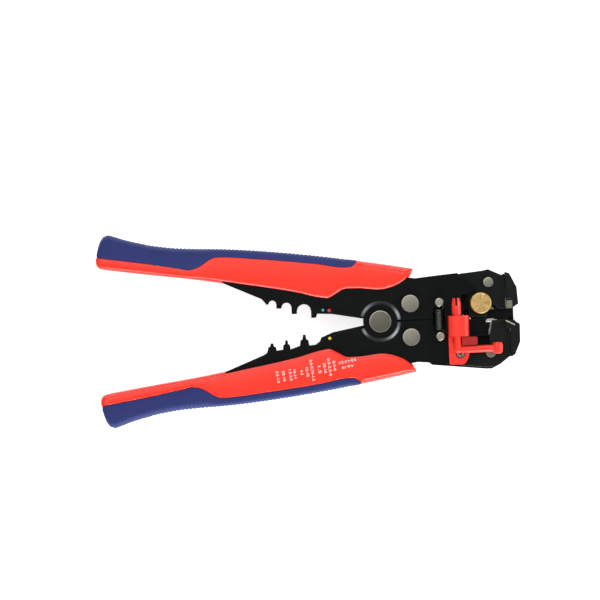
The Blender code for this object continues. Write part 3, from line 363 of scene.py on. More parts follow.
def finishes():
    """All finishes, made once from the colour settings."""
    if FINISH:
        return FINISH
    c = {key: tuple(getattr(colours(), key)) for key in settings_in(colours())}
    black, nickel = c["black_oxide"], c["nickel"]
    knob_axis = [v * MM for v in KNOB_AT]
    # After the colour: the roughness, then blackened steel's specular level or the pitch of a
    # metal's tool marks in millimetres
    FINISH.update({
        "grip": polypropylene("moulded_red_polypropylene", c["grip_red"], 0.22),
        "stop": polypropylene("moulded_red_acetal", c["stop_red"], 0.3),
        # Painted shade: the fence's red is darker
        "fence": polypropylene("moulded_dark_red_acetal", c["fence_red"], 0.5),
        "insert": soft_rubber("overmoulded_blue_rubber", c["insert_blue"], c["insert_worn"]),
        "plate": blackened_steel("black_oxide_stamped_steel", shade(black, 1.2), 0.42, 0.07),
        "jaw": blackened_steel("black_oxide_jaw_steel", shade(black, 1.9), 0.46, 0.12),
        # Broken edges in paler steel: partly rubbed wear, partly painted highlight
        "wear_and_highlight": blackened_steel("black_oxide_rubbed_edge", shade(black, 5.0), 0.34, 0.3),
        # The rim's pale grey crests are a painted highlight
        "ring": blackened_steel("black_oxide_stamped_rim", black, 0.3, 0.25, linear("9EA4A4")),
        # Machined blocks; this steel also serves as painted shade on edges and in the screw
        "holder": blackened_steel("black_oxide_machined_block", shade(black, 0.8), 0.35, 0.08),
        "wire": plated_metal("phosphated_spring_wire", linear("61665F"), 0.28, 0.2),
        "nickel": plated_metal("nickel_plated_steel", nickel, 0.34),
        "rivet": plated_metal("nickel_plated_pivot_rivet", shade(nickel, 0.55), 0.36),
        # Polished pins and screw; also a painted highlight on the rivet rims
        "pin": plated_metal("polished_spring_pin", shade(nickel, 1.5), 0.24, 0.2),
        # Toothed steel, also used as a painted highlight on the rear plates' lower edge
        "pad": plated_metal("hardened_toothed_steel", linear("85856F"), 0.4, 0.3),
        "steel": plated_metal("ground_bright_steel", c["bright_steel"], 0.3, 0.15),
        "brass": plated_metal("turned_brass", c["brass"], 0.42, 0.2, knob_axis),
        "blue_dot": enamel("blue_enamel_dot", linear("4FA6C4")),
        "red_dot": enamel("red_enamel_dot", linear("C8203C")),
        "yellow_dot": enamel("yellow_enamel_dot", linear("E2C52F")),
        "ink": enamel("white_pad_print_ink", linear("FFE9E2")),
    })
    return FINISH


# Modelling helpers


def start_fresh():
    """Back to object mode with nothing selected."""
    if bpy.context.object and bpy.context.object.mode != "OBJECT":
        bpy.ops.object.mode_set(mode="OBJECT")
    bpy.ops.object.select_all(action="DESELECT")


def edit_all():
    """Goes into edit mode with everything selected."""
    bpy.ops.object.mode_set(mode="EDIT")
    bpy.ops.mesh.select_all(action="SELECT")


def face_outwards():
    """In edit mode, turns all faces outwards and goes back to object mode."""
    bpy.ops.mesh.select_all(action="SELECT")
    bpy.ops.mesh.normals_make_consistent(inside=False)
    bpy.ops.object.mode_set(mode="OBJECT")


def settle(piece, name, body, finish, replaces=()):
    """Names the piece, gives it its finish and puts it on its body."""
    piece.name = name
    piece.data.name = name
    bpy.context.view_layer.update()
    piece.data.transform(piece.matrix_world)
    piece.matrix_world = Matrix.Identity(4)
    if finish:
        piece.data.materials.clear()
        piece.data.materials.append(finishes()[finish])
    if body:
        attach(piece, body)
    if replaces:
        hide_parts(*replaces)
    return piece


def copy_of_node(node):
    """A clean, merged copy of a CAD node, in object mode and selected."""
    start_fresh()
    source = frame["nodes"][node]
    source.select_set(True)
    bpy.context.view_layer.objects.active = source
    bpy.ops.object.duplicate()
    piece = bpy.context.view_layer.objects.active
    piece.parent = None
    piece.matrix_world = Matrix.Identity(4)
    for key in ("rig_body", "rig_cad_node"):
        del piece[key]
    bpy.ops.mesh.customdata_custom_splitnormals_clear()
    edit_all()
    bpy.ops.mesh.remove_doubles(threshold=0.000002)
    bpy.ops.mesh.dissolve_limited(angle_limit=math.radians(0.4))
    bpy.ops.object.mode_set(mode="OBJECT")
    return piece


def smooth(angle):
    """Shades the selected piece smooth, but for edges that turn by more degrees than this."""
    bpy.ops.object.shade_smooth_by_angle(angle=math.radians(angle))


def chamfer(piece, width, segments=2, angle=35.0, edge_slot=0):
    """Breaks the sharp edges and shades the rest smooth."""
    bevel = piece.modifiers.new("Chamfer", "BEVEL")
    bevel.width = width
    bevel.segments = segments
    bevel.limit_method = "ANGLE"
    bevel.angle_limit = math.radians(angle)
    bevel.use_clamp_overlap = True
    bevel.harden_normals = False
    bevel.material = edge_slot
    bpy.ops.object.modifier_apply(modifier=bevel.name)
    smooth(angle)
    weigh = piece.modifiers.new("Normals", "WEIGHTED_NORMAL")
    weigh.keep_sharp = True
    bpy.ops.object.modifier_apply(modifier=weigh.name)


def reshape(piece, rule):
    """Moves each point to where rule(x, y, z) puts it, in millimetres."""
    for vertex in piece.data.vertices:
        vertex.co = Vector(rule(*(vertex.co / MM))) * MM


def store_pale_crests(piece, rule):
    """Stores rule(x, y, z), from millimetres, as each point's share of the pale crest colour."""
    crest = piece.data.attributes.new("crest", "FLOAT", "POINT")
    for vertex, share in zip(piece.data.vertices, crest.data):
        share.value = rule(vertex.co.x / MM, vertex.co.y / MM, vertex.co.z / MM)


def split_at(piece, point, normal):
    """Cuts the faces along a plane, given in millimetres, and leaves both halves."""
    edit_all()
    bpy.ops.mesh.bisect(plane_co=[v * MM for v in point], plane_no=normal, use_fill=False)
    bpy.ops.object.mode_set(mode="OBJECT")


def recolour(piece, key, test):
    """Gives the faces that pass the test of centre (millimetres) and normal another finish."""
    piece.data.materials.append(finishes()[key])
    slot = len(piece.data.materials) - 1
    for face in piece.data.polygons:
        if test(face.center / MM, face.normal):
            face.material_index = slot


def finished_node(node, finish, width, segments=2, edge=None, angle=35.0, prepare=None):
    """Stands a chamfered copy in for a CAD node."""
    piece = copy_of_node(node)
    if prepare:
        prepare(piece)
    piece.data.materials.clear()
    keys = [finish] if edge is None else [finish, edge]
    for key in keys:
        piece.data.materials.append(finishes()[key])
    chamfer(piece, width, segments, angle, len(keys) - 1)
    return settle(piece, node + "_finished", BODY_OF[node], None, (node,))


def turned_piece(x, y, profile, steps):
    """A disc along Z, extruded and scaled up through (radius, height) steps in millimetres."""
    start_fresh()
    radius, height = profile[0]
    bpy.ops.mesh.primitive_circle_add(
        vertices=steps, radius=radius * MM, fill_type="NGON",
        location=(x * MM, y * MM, height * MM),
    )
    piece = bpy.context.object
    bpy.ops.object.transform_apply(location=True, rotation=True, scale=True)
    edit_all()
    for step_radius, step_height in profile[1:]:
        rise = (step_height - height) * MM
        bpy.ops.mesh.extrude_region_move(TRANSFORM_OT_translate={"value": (0, 0, rise)})
        grow = step_radius / radius
        bpy.ops.transform.resize(
            value=(grow, grow, 1.0), center_override=(x * MM, y * MM, step_height * MM)
        )
        radius, height = step_radius, step_height
    face_outwards()
    return piece


def skin_through(rows):
    """A grid wrapped into a closed skin: each row holds one section's points in metres."""
    start_fresh()
    across = len(rows[0])
    bpy.ops.mesh.primitive_grid_add(x_subdivisions=across, y_subdivisions=len(rows) - 1, size=1.0)
    piece = bpy.context.object
    points = [row[i % across] for row in rows for i in range(across + 1)]
    for vertex, point in zip(piece.data.vertices, points):
        vertex.co = point
    edit_all()
    bpy.ops.mesh.remove_doubles(threshold=0.0000005)
    bpy.ops.mesh.select_all(action="DESELECT")
    bpy.ops.mesh.select_mode(type="EDGE")
    bpy.ops.mesh.select_non_manifold(
        extend=False, use_boundary=True, use_wire=False, use_multi_face=False,
        use_non_contiguous=False, use_verts=False,
    )
    bpy.ops.mesh.edge_face_add()
    bpy.ops.mesh.select_mode(type="VERT")
    face_outwards()
    return piece


def flat_piece(outline, low, high):
    """A plate from its outline, between two heights; all in millimetres."""
    start_fresh()
    bpy.ops.mesh.primitive_circle_add(vertices=len(outline), radius=0.01, fill_type="NGON")
    piece = bpy.context.object
    for vertex, (x, y) in zip(piece.data.vertices, outline):
        vertex.co = (x * MM, y * MM, low * MM)
    edit_all()
    bpy.ops.mesh.extrude_region_move(TRANSFORM_OT_translate={"value": (0, 0, (high - low) * MM)})
    face_outwards()
    return piece


def cut_away(piece, cutter):
    """Cuts the helper's shape out of the piece and removes the helper."""
    bpy.ops.object.select_all(action="DESELECT")
    piece.select_set(True)
    bpy.context.view_layer.objects.active = piece
    mod = piece.modifiers.new("Cut", "BOOLEAN")
    mod.operation = "DIFFERENCE"
    mod.object = cutter
    mod.solver = "EXACT"
    bpy.ops.object.modifier_apply(modifier=mod.name)
    bpy.data.objects.remove(cutter)


# Grips: the same edges as the solids, with rounder corners. All in millimetres; the upper
# grip's edges are given as (x, distance from the middle line), and the lower grip mirrors them

INNER_EDGE = (
    (-136.8, 32.8), (-136.2, 31.4), (-134.6, 30.4), (-131.6, 29.8), (-126.4, 29.0),
    (-111.0, 26.7), (-93.5, 24.3), (-67.0, 19.8), (-41.0, 14.9), (-30.0, 12.0), (-25.0, 11.3),
    (-21.9, 12.8), (-16.0, 15.6), (-10.0, 15.5), (0.0, 14.5), (5.6, 15.4), (11.6, 18.1),
    (14.6, 20.8), (16.6, 24.2),
)
OUTER_EDGE = (
    (-136.8, 35.0), (-136.2, 38.0), (-134.6, 43.5), (-132.9, 46.0), (-130.7, 46.9),
    (-128.0, 46.2), (-122.2, 44.2), (-110.4, 41.3), (-96.4, 39.3), (-73.4, 38.0),
    (-58.4, 36.7), (-29.4, 33.1), (-0.4, 28.3), (11.1, 26.2), (16.6, 25.0),
)
# Where the red grip meets the blue insert
SPLIT_EDGE = (
    (-136.8, 36.0), (-129.4, 34.9), (-112.4, 32.2), (-97.4, 29.4), (-92.0, 28.4), (-88.9, 29.0),
    (-85.9, 30.3), (-82.9, 32.3), (-80.2, 33.7), (-77.4, 34.1), (-58.4, 32.5), (-29.4, 29.0),
    (-16.4, 26.9), (-13.4, 27.0), (-10.9, 28.5), (-9.6, 29.4),
)
# Room for the lever plates: its outline, and its heights from the middle on both faces
PLATE_ROOM = (
    (-75.9, 3.0), (28.0, 3.0), (28.0, 21.6), (17.6, 20.6), (8.0, 21.9), (-17.0, 23.3),
    (-45.0, 25.7), (-75.9, 27.9),
)
PLATE_BANDS = ((4.5, 8.1), (-8.1, -4.5))
GRIP_START, GRIP_END = -136.8, 16.6
INSERT_START, INSERT_END = -136.2, -10.6
RIBS_FROM, RIBS_TO = -112.0, -14.5
# One rib and its groove: (share of the pitch, share of the depth)
RIB_SHAPE = ((0.0, 1.0), (0.22, 0.85), (0.42, 0.1), (0.6, 0.0), (0.78, 0.1), (0.92, 0.85))
# Gap between grip and insert, and the small rounding along it
SEAM, SEAM_ROUND = 0.06, 0.45
# Sections lie this far apart, and closer near the ends
SECTION_GAP = 2.5
END_STEPS = (0.12, 0.35, 0.75, 1.3, 2.0)
# How far butt and nose take to round off, and how much thinner they end
BUTT_EASE, NOSE_EASE, END_DROP = 3.0, 4.0, 1.8
# The corners are deeper than wide, as a hand likes them
CORNER_DEPTH = 1.3
# The palm side is paler in a strip this wide along the outer edge: rubbed wear and painted sheen
PALM_STRIP = 2.6


def edge_at(knots, x):
    """Smooth height at x through the knots, without overshoot."""
    if x <= knots[0][0]:
        return knots[0][1]
    if x >= knots[-1][0]:
        return knots[-1][1]
    slopes = [(b[1] - a[1]) / (b[0] - a[0]) for a, b in zip(knots, knots[1:])]
    tangents = [slopes[0]]
    for a, b in zip(slopes, slopes[1:]):
        tangents.append(0.0 if a * b <= 0 else 2 * a * b / (a + b))
    tangents.append(slopes[-1])
    i = max(k for k in range(len(knots) - 1) if knots[k][0] <= x)
    h = knots[i + 1][0] - knots[i][0]
    t = (x - knots[i][0]) / h
    blend = t * t * (3 - 2 * t)
    return (
        knots[i][1] * (1 - blend) + knots[i + 1][1] * blend
        + h * t * (1 - t) ** 2 * tangents[i] - h * t * t * (1 - t) * tangents[i + 1]
    )


def half_thickness(x):
    """Full over the palm, rounded off at both ends."""
    back = min(1.0, (x - GRIP_START) / BUTT_EASE)
    front = min(1.0, (GRIP_END - x) / NOSE_EASE)
    ease = min(math.sqrt(1 - (1 - back) ** 2), math.sqrt(1 - (1 - front) ** 2))
    return BASE - END_DROP * (1 - ease)


def rounded_section(x, y0, y1, side, round_in, round_out, steps_in, steps_out):
    """Rounded rectangle across a grip, in metres."""
    half = half_thickness(x)
    limit = 0.46 * (y1 - y0)
    r0, r1 = min(round_in, limit), min(round_out, limit)
    h0, h1 = CORNER_DEPTH * r0, CORNER_DEPTH * r1
    points = []
    for cy, cz, r, h, start, steps in (
        (y0 + r0, h0 - half, r0, h0, 180, steps_in), (y1 - r1, h1 - half, r1, h1, 270, steps_out),
        (y1 - r1, half - h1, r1, h1, 0, steps_out), (y0 + r0, half - h0, r0, h0, 90, steps_in),
    ):
        for i in range(steps + 1):
            a = math.radians(start + 90 * i / steps)
            y, z = side * (cy + r * math.cos(a)), BASE + cz + h * math.sin(a)
            points.append((x * MM, y * MM, z * MM))
    return points


def fill_between(places, gap):
    """Adds places so that no two neighbours are further apart than gap."""
    places = sorted(places)
    result = []
    for a, b in zip(places, places[1:]):
        parts = max(1, math.ceil((b - a) / gap - 1e-6))
        result += [a + (b - a) * i / parts for i in range(parts)]
    return result + [places[-1]]


def build_grip(prefix, side):
    """One moulded grip, with the room for its lever plates."""
    places = {k[0] for k in INNER_EDGE + OUTER_EDGE + SPLIT_EDGE if GRIP_START <= k[0] <= GRIP_END}
    places |= {INSERT_END, INSERT_END + SEAM, *(GRIP_START + step for step in END_STEPS)}
    round_in, full_round = sizes().grip_round_in / MM, sizes().grip_round_out / MM
    rows = []
    for x in fill_between(places, SECTION_GAP):
        y0, y1 = edge_at(INNER_EDGE, x), edge_at(OUTER_EDGE, x)
        if x <= INSERT_END + 1e-6:
            y1 = min(edge_at(SPLIT_EDGE, x) - SEAM / 2, y1)
            round_out = SEAM_ROUND
        else:
            round_out = full_round * min(1.0, 0.3 + (x - INSERT_END) / 1.8)
        rows.append(rounded_section(x, y0, y1, side, round_in, round_out, 8, 12))
    piece = skin_through(rows)
    for low, high in PLATE_BANDS:
        cutter = flat_piece([(x, side * y) for x, y in PLATE_ROOM], BASE + low, BASE + high)
        cut_away(piece, cutter)
    smooth(38)
    node = prefix + "_grip"
    return settle(piece, node + "_moulded", BODY_OF[node], "grip", (node,))


def build_insert(prefix, side):
    """One rubber insert, ribbed along the palm side."""
    places = {k[0] for k in OUTER_EDGE + SPLIT_EDGE if INSERT_START < k[0] < INSERT_END}
    places |= {INSERT_START, INSERT_END, *(INSERT_START + step for step in END_STEPS)}
    plain = fill_between([x for x in places if x < RIBS_FROM] + [RIBS_FROM], SECTION_GAP)
    plain += fill_between([x for x in places if x > RIBS_TO] + [RIBS_TO], 1.0)
    dips = {x: 0.0 for x in plain}
    ribs = round((RIBS_TO - RIBS_FROM) / (sizes().rib_pitch / MM))
    pitch = (RIBS_TO - RIBS_FROM) / ribs
    depth = sizes().rib_depth / MM
    for i in range(ribs):
        start = RIBS_FROM + i * pitch
        for share, deep in RIB_SHAPE:
            dips[start + share * pitch] = deep * depth
    rows = []
    for x in sorted(dips):
        y0 = edge_at(SPLIT_EDGE, x) + SEAM / 2
        y1 = max(edge_at(OUTER_EDGE, x) - dips[x], y0 + 0.4)
        round_out = sizes().grip_round_out / MM
        rows.append(rounded_section(x, y0, y1, side, SEAM_ROUND, round_out, 3, 8))
    piece = skin_through(rows)
    dip_near = {round(x, 3): dip for x, dip in dips.items()}

    def palm_wear_and_sheen(x, y, z):
        """Palest on the crests of the ribs, along the outer edge: rubbed wear and painted sheen."""
        outer = min(1.0, max(0.0, (abs(y) - edge_at(OUTER_EDGE, x) + PALM_STRIP) / PALM_STRIP))
        ribbed = RIBS_FROM <= x <= RIBS_TO
        share = 1.0 - dip_near.get(round(x, 3), 0.0) / depth if ribbed else 0.35
        return outer * (0.08 + 0.62 * share * outer)

    store_pale_crests(piece, palm_wear_and_sheen)
    smooth(40)
    node = prefix + "_grip_insert"
    return settle(piece, node + "_ribbed", BODY_OF[node], "insert", (node,))


# Rim stamped round the pivot: (radius, height above the floor of the plates' groove)
RIM_PROFILE = (
    (8.15, 0.0), (8.3, 0.2), (8.6, 0.34), (9.0, 0.42), (9.4, 0.42), (9.8, 0.32), (10.1, 0.16),
    (10.25, 0.0),
)
RIM_HEIGHT = 0.42
RIM_FLOOR = PLATE_TOP - 0.48
RIM_STEPS = 48
# It stands out most in four arcs, where its painted highlight is also palest: (middle and spread in
# degrees, share of the height)
RIM_ARCS = ((137, 24, 0.6), (22, 20, 0.8), (-42, 26, 1.0), (-148, 14, 0.6))


def build_pivot_rim(prefix, start, end):
    """One lever's part of the rim, between two directions in degrees."""
    rows = []
    for i in range(RIM_STEPS + 1):
        turn = start + (end - start) * i / RIM_STEPS
        a = math.radians(turn)
        raised = sum(share * math.exp(-((turn - at) / wide) ** 2) for at, wide, share in RIM_ARCS)
        part = min(1.0, 0.12 + raised)
        section = [(r, RIM_FLOOR + h * part) for r, h in RIM_PROFILE]
        section += [(r, RIM_FLOOR - 0.01) for r, h in reversed(RIM_PROFILE)]
        rows.append([(r * math.cos(a) * MM, r * math.sin(a) * MM, z * MM) for r, z in section])
    piece = skin_through(rows)
    # Painted highlight: the rim is paler the higher it stands, most in its four arcs
    store_pale_crests(piece, lambda x, y, z: max(0.0, (z - RIM_FLOOR) / RIM_HEIGHT) ** 1.5)
    smooth(40)
    settle(piece, prefix + "_pivot_rim", prefix + "_lever", "ring")


# Operators


def dark_edge_painted_shade(at, normal):
    """Edges given the darkest steel, not the paler edge: round the pivot, and as painted shade in
    the seam between the levers and at the nose's step.
    """
    by_pivot = at.xy.length < 11.5
    in_seam = abs(at.y) < 0.8 and at.x > 9.0
    at_nose = at.x > 40.0 and 12.0 < at.y < 20.0
    return abs(normal.z) < 0.98 and (by_pivot or in_seam or at_nose)


def painted_highlight_below(at, normal):
    """The broken edge of the rear plates that shows along the head's lower side, painted paler as a
    highlight.
    """
    return at.x > 24.0 and at.y < -18.0 and normal.y < -0.3 and normal.z > 0.2


class STRIPPER_OT_lever_plates(bpy.types.Operator):
    """Lever plates with broken edges"""
    bl_idname = "stripper.lever_plates"
    bl_label = "Lever plates"

    def execute(self, context):
        for node in (
            "upper_front_plate", "upper_rear_plate", "lower_front_plate", "lower_rear_plate",
        ):
            plate = finished_node(node, "plate", sizes().plate_chamfer, edge="wear_and_highlight")
            # Painted shade: darkest steel on edges in the seam and at the nose
            recolour(plate, "holder", dark_edge_painted_shade)
            if node == "lower_rear_plate":
                # Painted highlight along the head's lower side
                recolour(plate, "pad", painted_highlight_below)
        build_pivot_rim("upper", 4, 163)
        build_pivot_rim("lower", -4, -160)
        return {"FINISHED"}


class STRIPPER_OT_grips(bpy.types.Operator):
    """Moulded grips with round edges and slots for the plates"""
    bl_idname = "stripper.grips"
    bl_label = "Grips"

    def execute(self, context):
        build_grip("upper", 1)
        build_grip("lower", -1)
        return {"FINISHED"}


class STRIPPER_OT_grip_inserts(bpy.types.Operator):
    """Rubber inserts with fine ribs along the palm side"""
    bl_idname = "stripper.grip_inserts"
    bl_label = "Grip inserts"

    def execute(self, context):
        build_insert("upper", 1)
        build_insert("lower", -1)
        return {"FINISHED"}


def rivet_profile(shank, head, height, low, high):
    """Flat rivet with a rounded rim on both heads."""
    rim = height * 0.45
    half = [
        (head - rim, height), (head - rim * 0.35, height - rim * 0.12), (head, height - rim),
        (head, 0.0),
    ]
    below = [(r, low - h) for r, h in half]
    above = [(r, high + h) for r, h in reversed(half)]
    return [(0.4, below[0][1]), *below, (shank, low), (shank, high), *above, (0.4, above[-1][1])]


def rivet_rim_painted_highlight(at, normal):
    """The rounded rim of a rivet's head, given bright steel as a painted highlight."""
    return 0.25 < abs(normal.z) < 0.995 and abs(at.z - BASE) > 3.0


class STRIPPER_OT_rivets(bpy.types.Operator):
    """Pivot rivets with rounded rims"""
    bl_idname = "stripper.rivets"
    bl_label = "Rivets"

    def execute(self, context):
        height = 0.9
        for node, shank in (
            ("main_rivet", 3.4), ("upper_jaw_rivet", 2.4), ("lower_jaw_rivet", 2.4),
            ("upper_tip_rivet", 1.5), ("lower_tip_rivet", 1.5),
        ):
            low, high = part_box(node)
            x, y = (low.x + high.x) / 2 / MM, (low.y + high.y) / 2 / MM
            head = (high.x - low.x) / 2 / MM
            profile = rivet_profile(shank, head, height, low.z / MM + height, high.z / MM - height)
            piece = turned_piece(x, y, profile, 72)
            smooth(50)
            finish = "rivet" if node == "main_rivet" else "nickel"
            settle(piece, node + "_turned", BODY_OF[node], finish, (node,))
            # Painted highlight: the rivet rims get the brighter polished steel
            recolour(piece, "pin", rivet_rim_painted_highlight)
        for node in ("upper_spring_pin", "lower_spring_pin"):
            finished_node(node, "pin", 0.3 * MM, segments=3)
        return {"FINISHED"}


# Return spring, in millimetres: its axis, the mean radius of its coils, half its wound length,
# the middle of the upper pin, and the hooks' radius and height
SPRING_X, SPRING_Z, SPRING_RADIUS, SPRING_HALF = 28.5, 7.5 + BASE, 2.15, 5.0
PIN_X, PIN_Y, HOOK_RADIUS, HOOK_Z = 28.85, 8.25, 2.0, 8.5 + BASE
# The hooks' turn in degrees, and the steps along a hook and round a coil
HOOK_TURN, HOOK_STEPS, COIL_STEPS = 215, 24, 20


def hook(y, degrees):
    """Points round the pin at this y, at these directions."""
    return [
        (PIN_X + HOOK_RADIUS * math.cos(a), y + HOOK_RADIUS * math.sin(a), HOOK_Z)
        for a in map(math.radians, degrees)
    ]


def spring_line(coils):
    """The middle line of the wire: a hook, the coils and the other hook, in millimetres."""
    steps = range(HOOK_STEPS + 1)
    points = hook(-PIN_Y, [-HOOK_TURN * (1 - i / HOOK_STEPS) for i in steps])
    # The coils start at the hooks' height
    lift = math.degrees(math.asin((HOOK_Z - SPRING_Z) / SPRING_RADIUS))
    count = coils * COIL_STEPS
    for i in range(count + 1):
        a = math.radians(lift + 360 * coils * i / count)
        y = -SPRING_HALF + 2 * SPRING_HALF * i / count
        dx, dz = SPRING_RADIUS * math.cos(a), SPRING_RADIUS * math.sin(a)
        points.append((SPRING_X + dx, y, SPRING_Z + dz))
    return points + hook(PIN_Y, [HOOK_TURN * i / HOOK_STEPS for i in steps])


class STRIPPER_OT_return_spring(bpy.types.Operator):
    """Close-wound tension spring, hooked over both pins"""
    bl_idname = "stripper.return_spring"
    bl_label = "Return spring"

    def execute(self, context):
        start_fresh()
        points = spring_line(sizes().spring_coils)
        curve = bpy.data.curves.new("spring_line", "CURVE")
        curve.dimensions = "3D"
        curve.bevel_depth = sizes().spring_wire / 2
        curve.bevel_resolution = 3
        curve.use_fill_caps = True
        line = curve.splines.new("POLY")
        line.points.add(len(points) - 1)
        for point, place in zip(line.points, points):
            point.co = (*[v * MM for v in place], 1.0)
        piece = bpy.data.objects.new("spring_line", curve)
        bpy.context.collection.objects.link(piece)
        piece.select_set(True)
        bpy.context.view_layer.objects.active = piece
        bpy.ops.object.convert(target="MESH")
        piece = bpy.context.object
        smooth(60)
        settle(piece, "return_spring_wound", None, "wire", ("return_spring",))
        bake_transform(piece)
        return {"FINISHED"}


def lengthen_lip(piece):
    """The guard lip reaches on behind the mouth, and its shelf lies higher."""
    reshape(piece, lambda x, y, z: (
        x + 0.6 if x > 64.2 else x, y + 1.2 if x > 60.0 and 3.3 < y < 3.5 else y, z
    ))


def fill_upper_pocket(piece):
    """The upper pad reaches its pocket's walls."""
    reshape(piece, lambda x, y, z: (
        x - 0.3 if x < 61.8 else x + 0.28 if x > 63.9 else x, y + 0.28 if y > 8.5 else y, z
    ))


def fill_lower_pocket(piece):
    """The lower pad reaches its pocket's walls."""
    reshape(piece, lambda x, y, z: (
        x - 0.35 if x < 61.2 else x + 0.28 if x > 64.9 else x, y - 0.28 if y < -5.4 else y, z
    ))


class STRIPPER_OT_gripping_jaws(bpy.types.Operator):
    """Jaw plates and tip blocks with broken edges, and toothed pads"""
    bl_idname = "stripper.gripping_jaws"
    bl_label = "Gripping jaws"

    def execute(self, context):
        for node, wider, prepare in (
            ("upper_jaw_front_plate", 1.0, None), ("upper_jaw_rear_plate", 1.0, lengthen_lip),
            ("upper_jaw_tip", 1.0, None), ("lower_jaw_front_plate", 1.0, None),
            ("lower_jaw_rear_plate", 1.6, None), ("lower_jaw_tip", 1.0, None),
        ):
            # The lower jaw's rear plate has a wider broken edge, which carries the painted
            # highlight along the head's lower side
            width = sizes().jaw_chamfer * wider
            plate = finished_node(node, "jaw", width, edge="wear_and_highlight", prepare=prepare)
            if node == "lower_jaw_rear_plate":
                recolour(plate, "pad", painted_highlight_below)
        pad = finished_node(
            "upper_grip_pad", "jaw", 0.06 * MM, segments=1,
            prepare=fill_upper_pocket,
        )
        # Its teeth are bright up to here, and its foot is black
        teeth_end = 7.9
        split_at(pad, (0.0, teeth_end, 0.0), (0.0, 1.0, 0.0))
        recolour(pad, "pad", lambda at, normal: at.y < teeth_end)
        pad = finished_node(
            "lower_grip_pad", "jaw", 0.06 * MM, segments=1,
            prepare=fill_lower_pocket,
        )
        # A slanted streak on this pad's top is given bright steel
        start, slant, streak = Vector((61.7, -1.9, 0.0)), Vector((0.459, 0.888, 0.0)), 0.6
        split_at(pad, start, slant)
        split_at(pad, start - slant * streak, slant)
        recolour(
            pad, "steel",
            lambda at, normal: normal.z > 0.5 and -streak < (at - start).dot(slant) < 0.0,
        )
        # A thin plate closes the view through the mouth
        guard = flat_piece(
            [(57.0, -4.6), (65.2, -4.6), (65.2, -0.4), (64.6, 0.3), (57.0, 0.3)], low=2.1, high=2.5
        )
        chamfer(guard, 0.1 * MM)
        settle(guard, "lower_jaw_back_guard", "lower_jaw", "jaw")
        return {"FINISHED"}


class STRIPPER_OT_adjusting_knob(bpy.types.Operator):
    """Turned brass knob with a finely knurled side"""
    bl_idname = "stripper.adjusting_knob"
    bl_label = "Adjusting knob"

    def execute(self, context):
        low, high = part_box("adjusting_knob")
        x, y = KNOB_AT
        z0, z1 = low.z / MM, high.z / MM
        r = KNOB_RADIUS
        # A neck, the knurled side with broken corners, and a face that is turned a little lower
        profile = [
            (1.6, z0), (1.6, z0 + 2.1), (r - 0.4, z0 + 2.1), (r, z0 + 2.5), (r, z1 - 0.55),
            (r - 0.12, z1 - 0.2), (r - 0.45, z1), (r - 0.9, z1), (r - 1.0, z1 - 0.06),
            (0.5, z1 - 0.06),
        ]
        piece = turned_piece(x, y, profile, sizes().knurl_count * 4)
        groove = 0.16
        for vertex in piece.data.vertices:
            dx, dy = vertex.co.x / MM - x, vertex.co.y / MM - y
            reach = math.hypot(dx, dy)
            if reach < r - 0.02 or not z0 + 2.4 < vertex.co.z / MM < z1 - 0.5:
                continue
            turn = math.atan2(dy, dx) / (2 * math.pi) * sizes().knurl_count
            dip = groove * (0.5 - 0.5 * math.cos(2 * math.pi * turn))
            vertex.co.x = (x + dx * (1 - dip / reach)) * MM
            vertex.co.y = (y + dy * (1 - dip / reach)) * MM
        smooth(30)
        settle(piece, "adjusting_knob_turned", "knob", "brass", ("adjusting_knob",))
        return {"FINISHED"}


def reach_under_bracket(piece):
    """The lower holder's left edge goes on under the stop bracket."""
    reshape(piece, lambda x, y, z: (x - 0.5 if 43.4 < x < 43.6 and y < 0.0 else x, y, z))


class STRIPPER_OT_stripping_blades(bpy.types.Operator):
    """Blade carriage, holders and ground blades"""
    bl_idname = "stripper.stripping_blades"
    bl_label = "Stripping blades"

    def execute(self, context):
        for node in ("upper_blade_holder", "lower_blade_holder"):
            finished_node(
                node, "holder", 0.25 * MM, edge="wear_and_highlight", prepare=reach_under_bracket
            )
        finished_node("blade_carriage", "plate", 0.2 * MM)
        finished_node("upper_blade", "pad", 0.08 * MM, segments=1)
        finished_node("lower_blade", "steel", 0.08 * MM, segments=1)
        for node, key in (
            ("centre_guide", "holder"), ("carriage_pin", "nickel"), ("jaw_link_pin", "holder"),
            ("front_washer", "nickel"), ("rear_washer", "nickel"), ("upper_jaw_bushing", "steel"),
            ("lower_jaw_bushing", "steel"),
        ):
            for place in frame["nodes"][node].material_slots:
                place.material = finishes()[key]
        return {"FINISHED"}


def round_bracket(piece):
    """Rounds the foot's corners and trims the right side."""
    reshape(piece, lambda x, y, z: (x - 0.5 if x > 42.0 else x, y, z))
    bpy.ops.object.mode_set(mode="EDIT")
    bpy.ops.mesh.select_mode(type="EDGE")
    bpy.ops.mesh.select_all(action="DESELECT")
    bm = bmesh.from_edit_mesh(piece.data)
    for edge in bm.edges:
        a, b = (v.co / MM for v in edge.verts)
        upright = abs(a.z - b.z) > 0.8 and (a - b).xy.length < 0.01
        edge.select_set(upright and a.y < -17.5)
    bmesh.update_edit_mesh(piece.data)
    bpy.ops.mesh.bevel(offset=1.1 * MM, segments=4)
    bpy.ops.mesh.select_mode(type="VERT")
    bpy.ops.object.mode_set(mode="OBJECT")


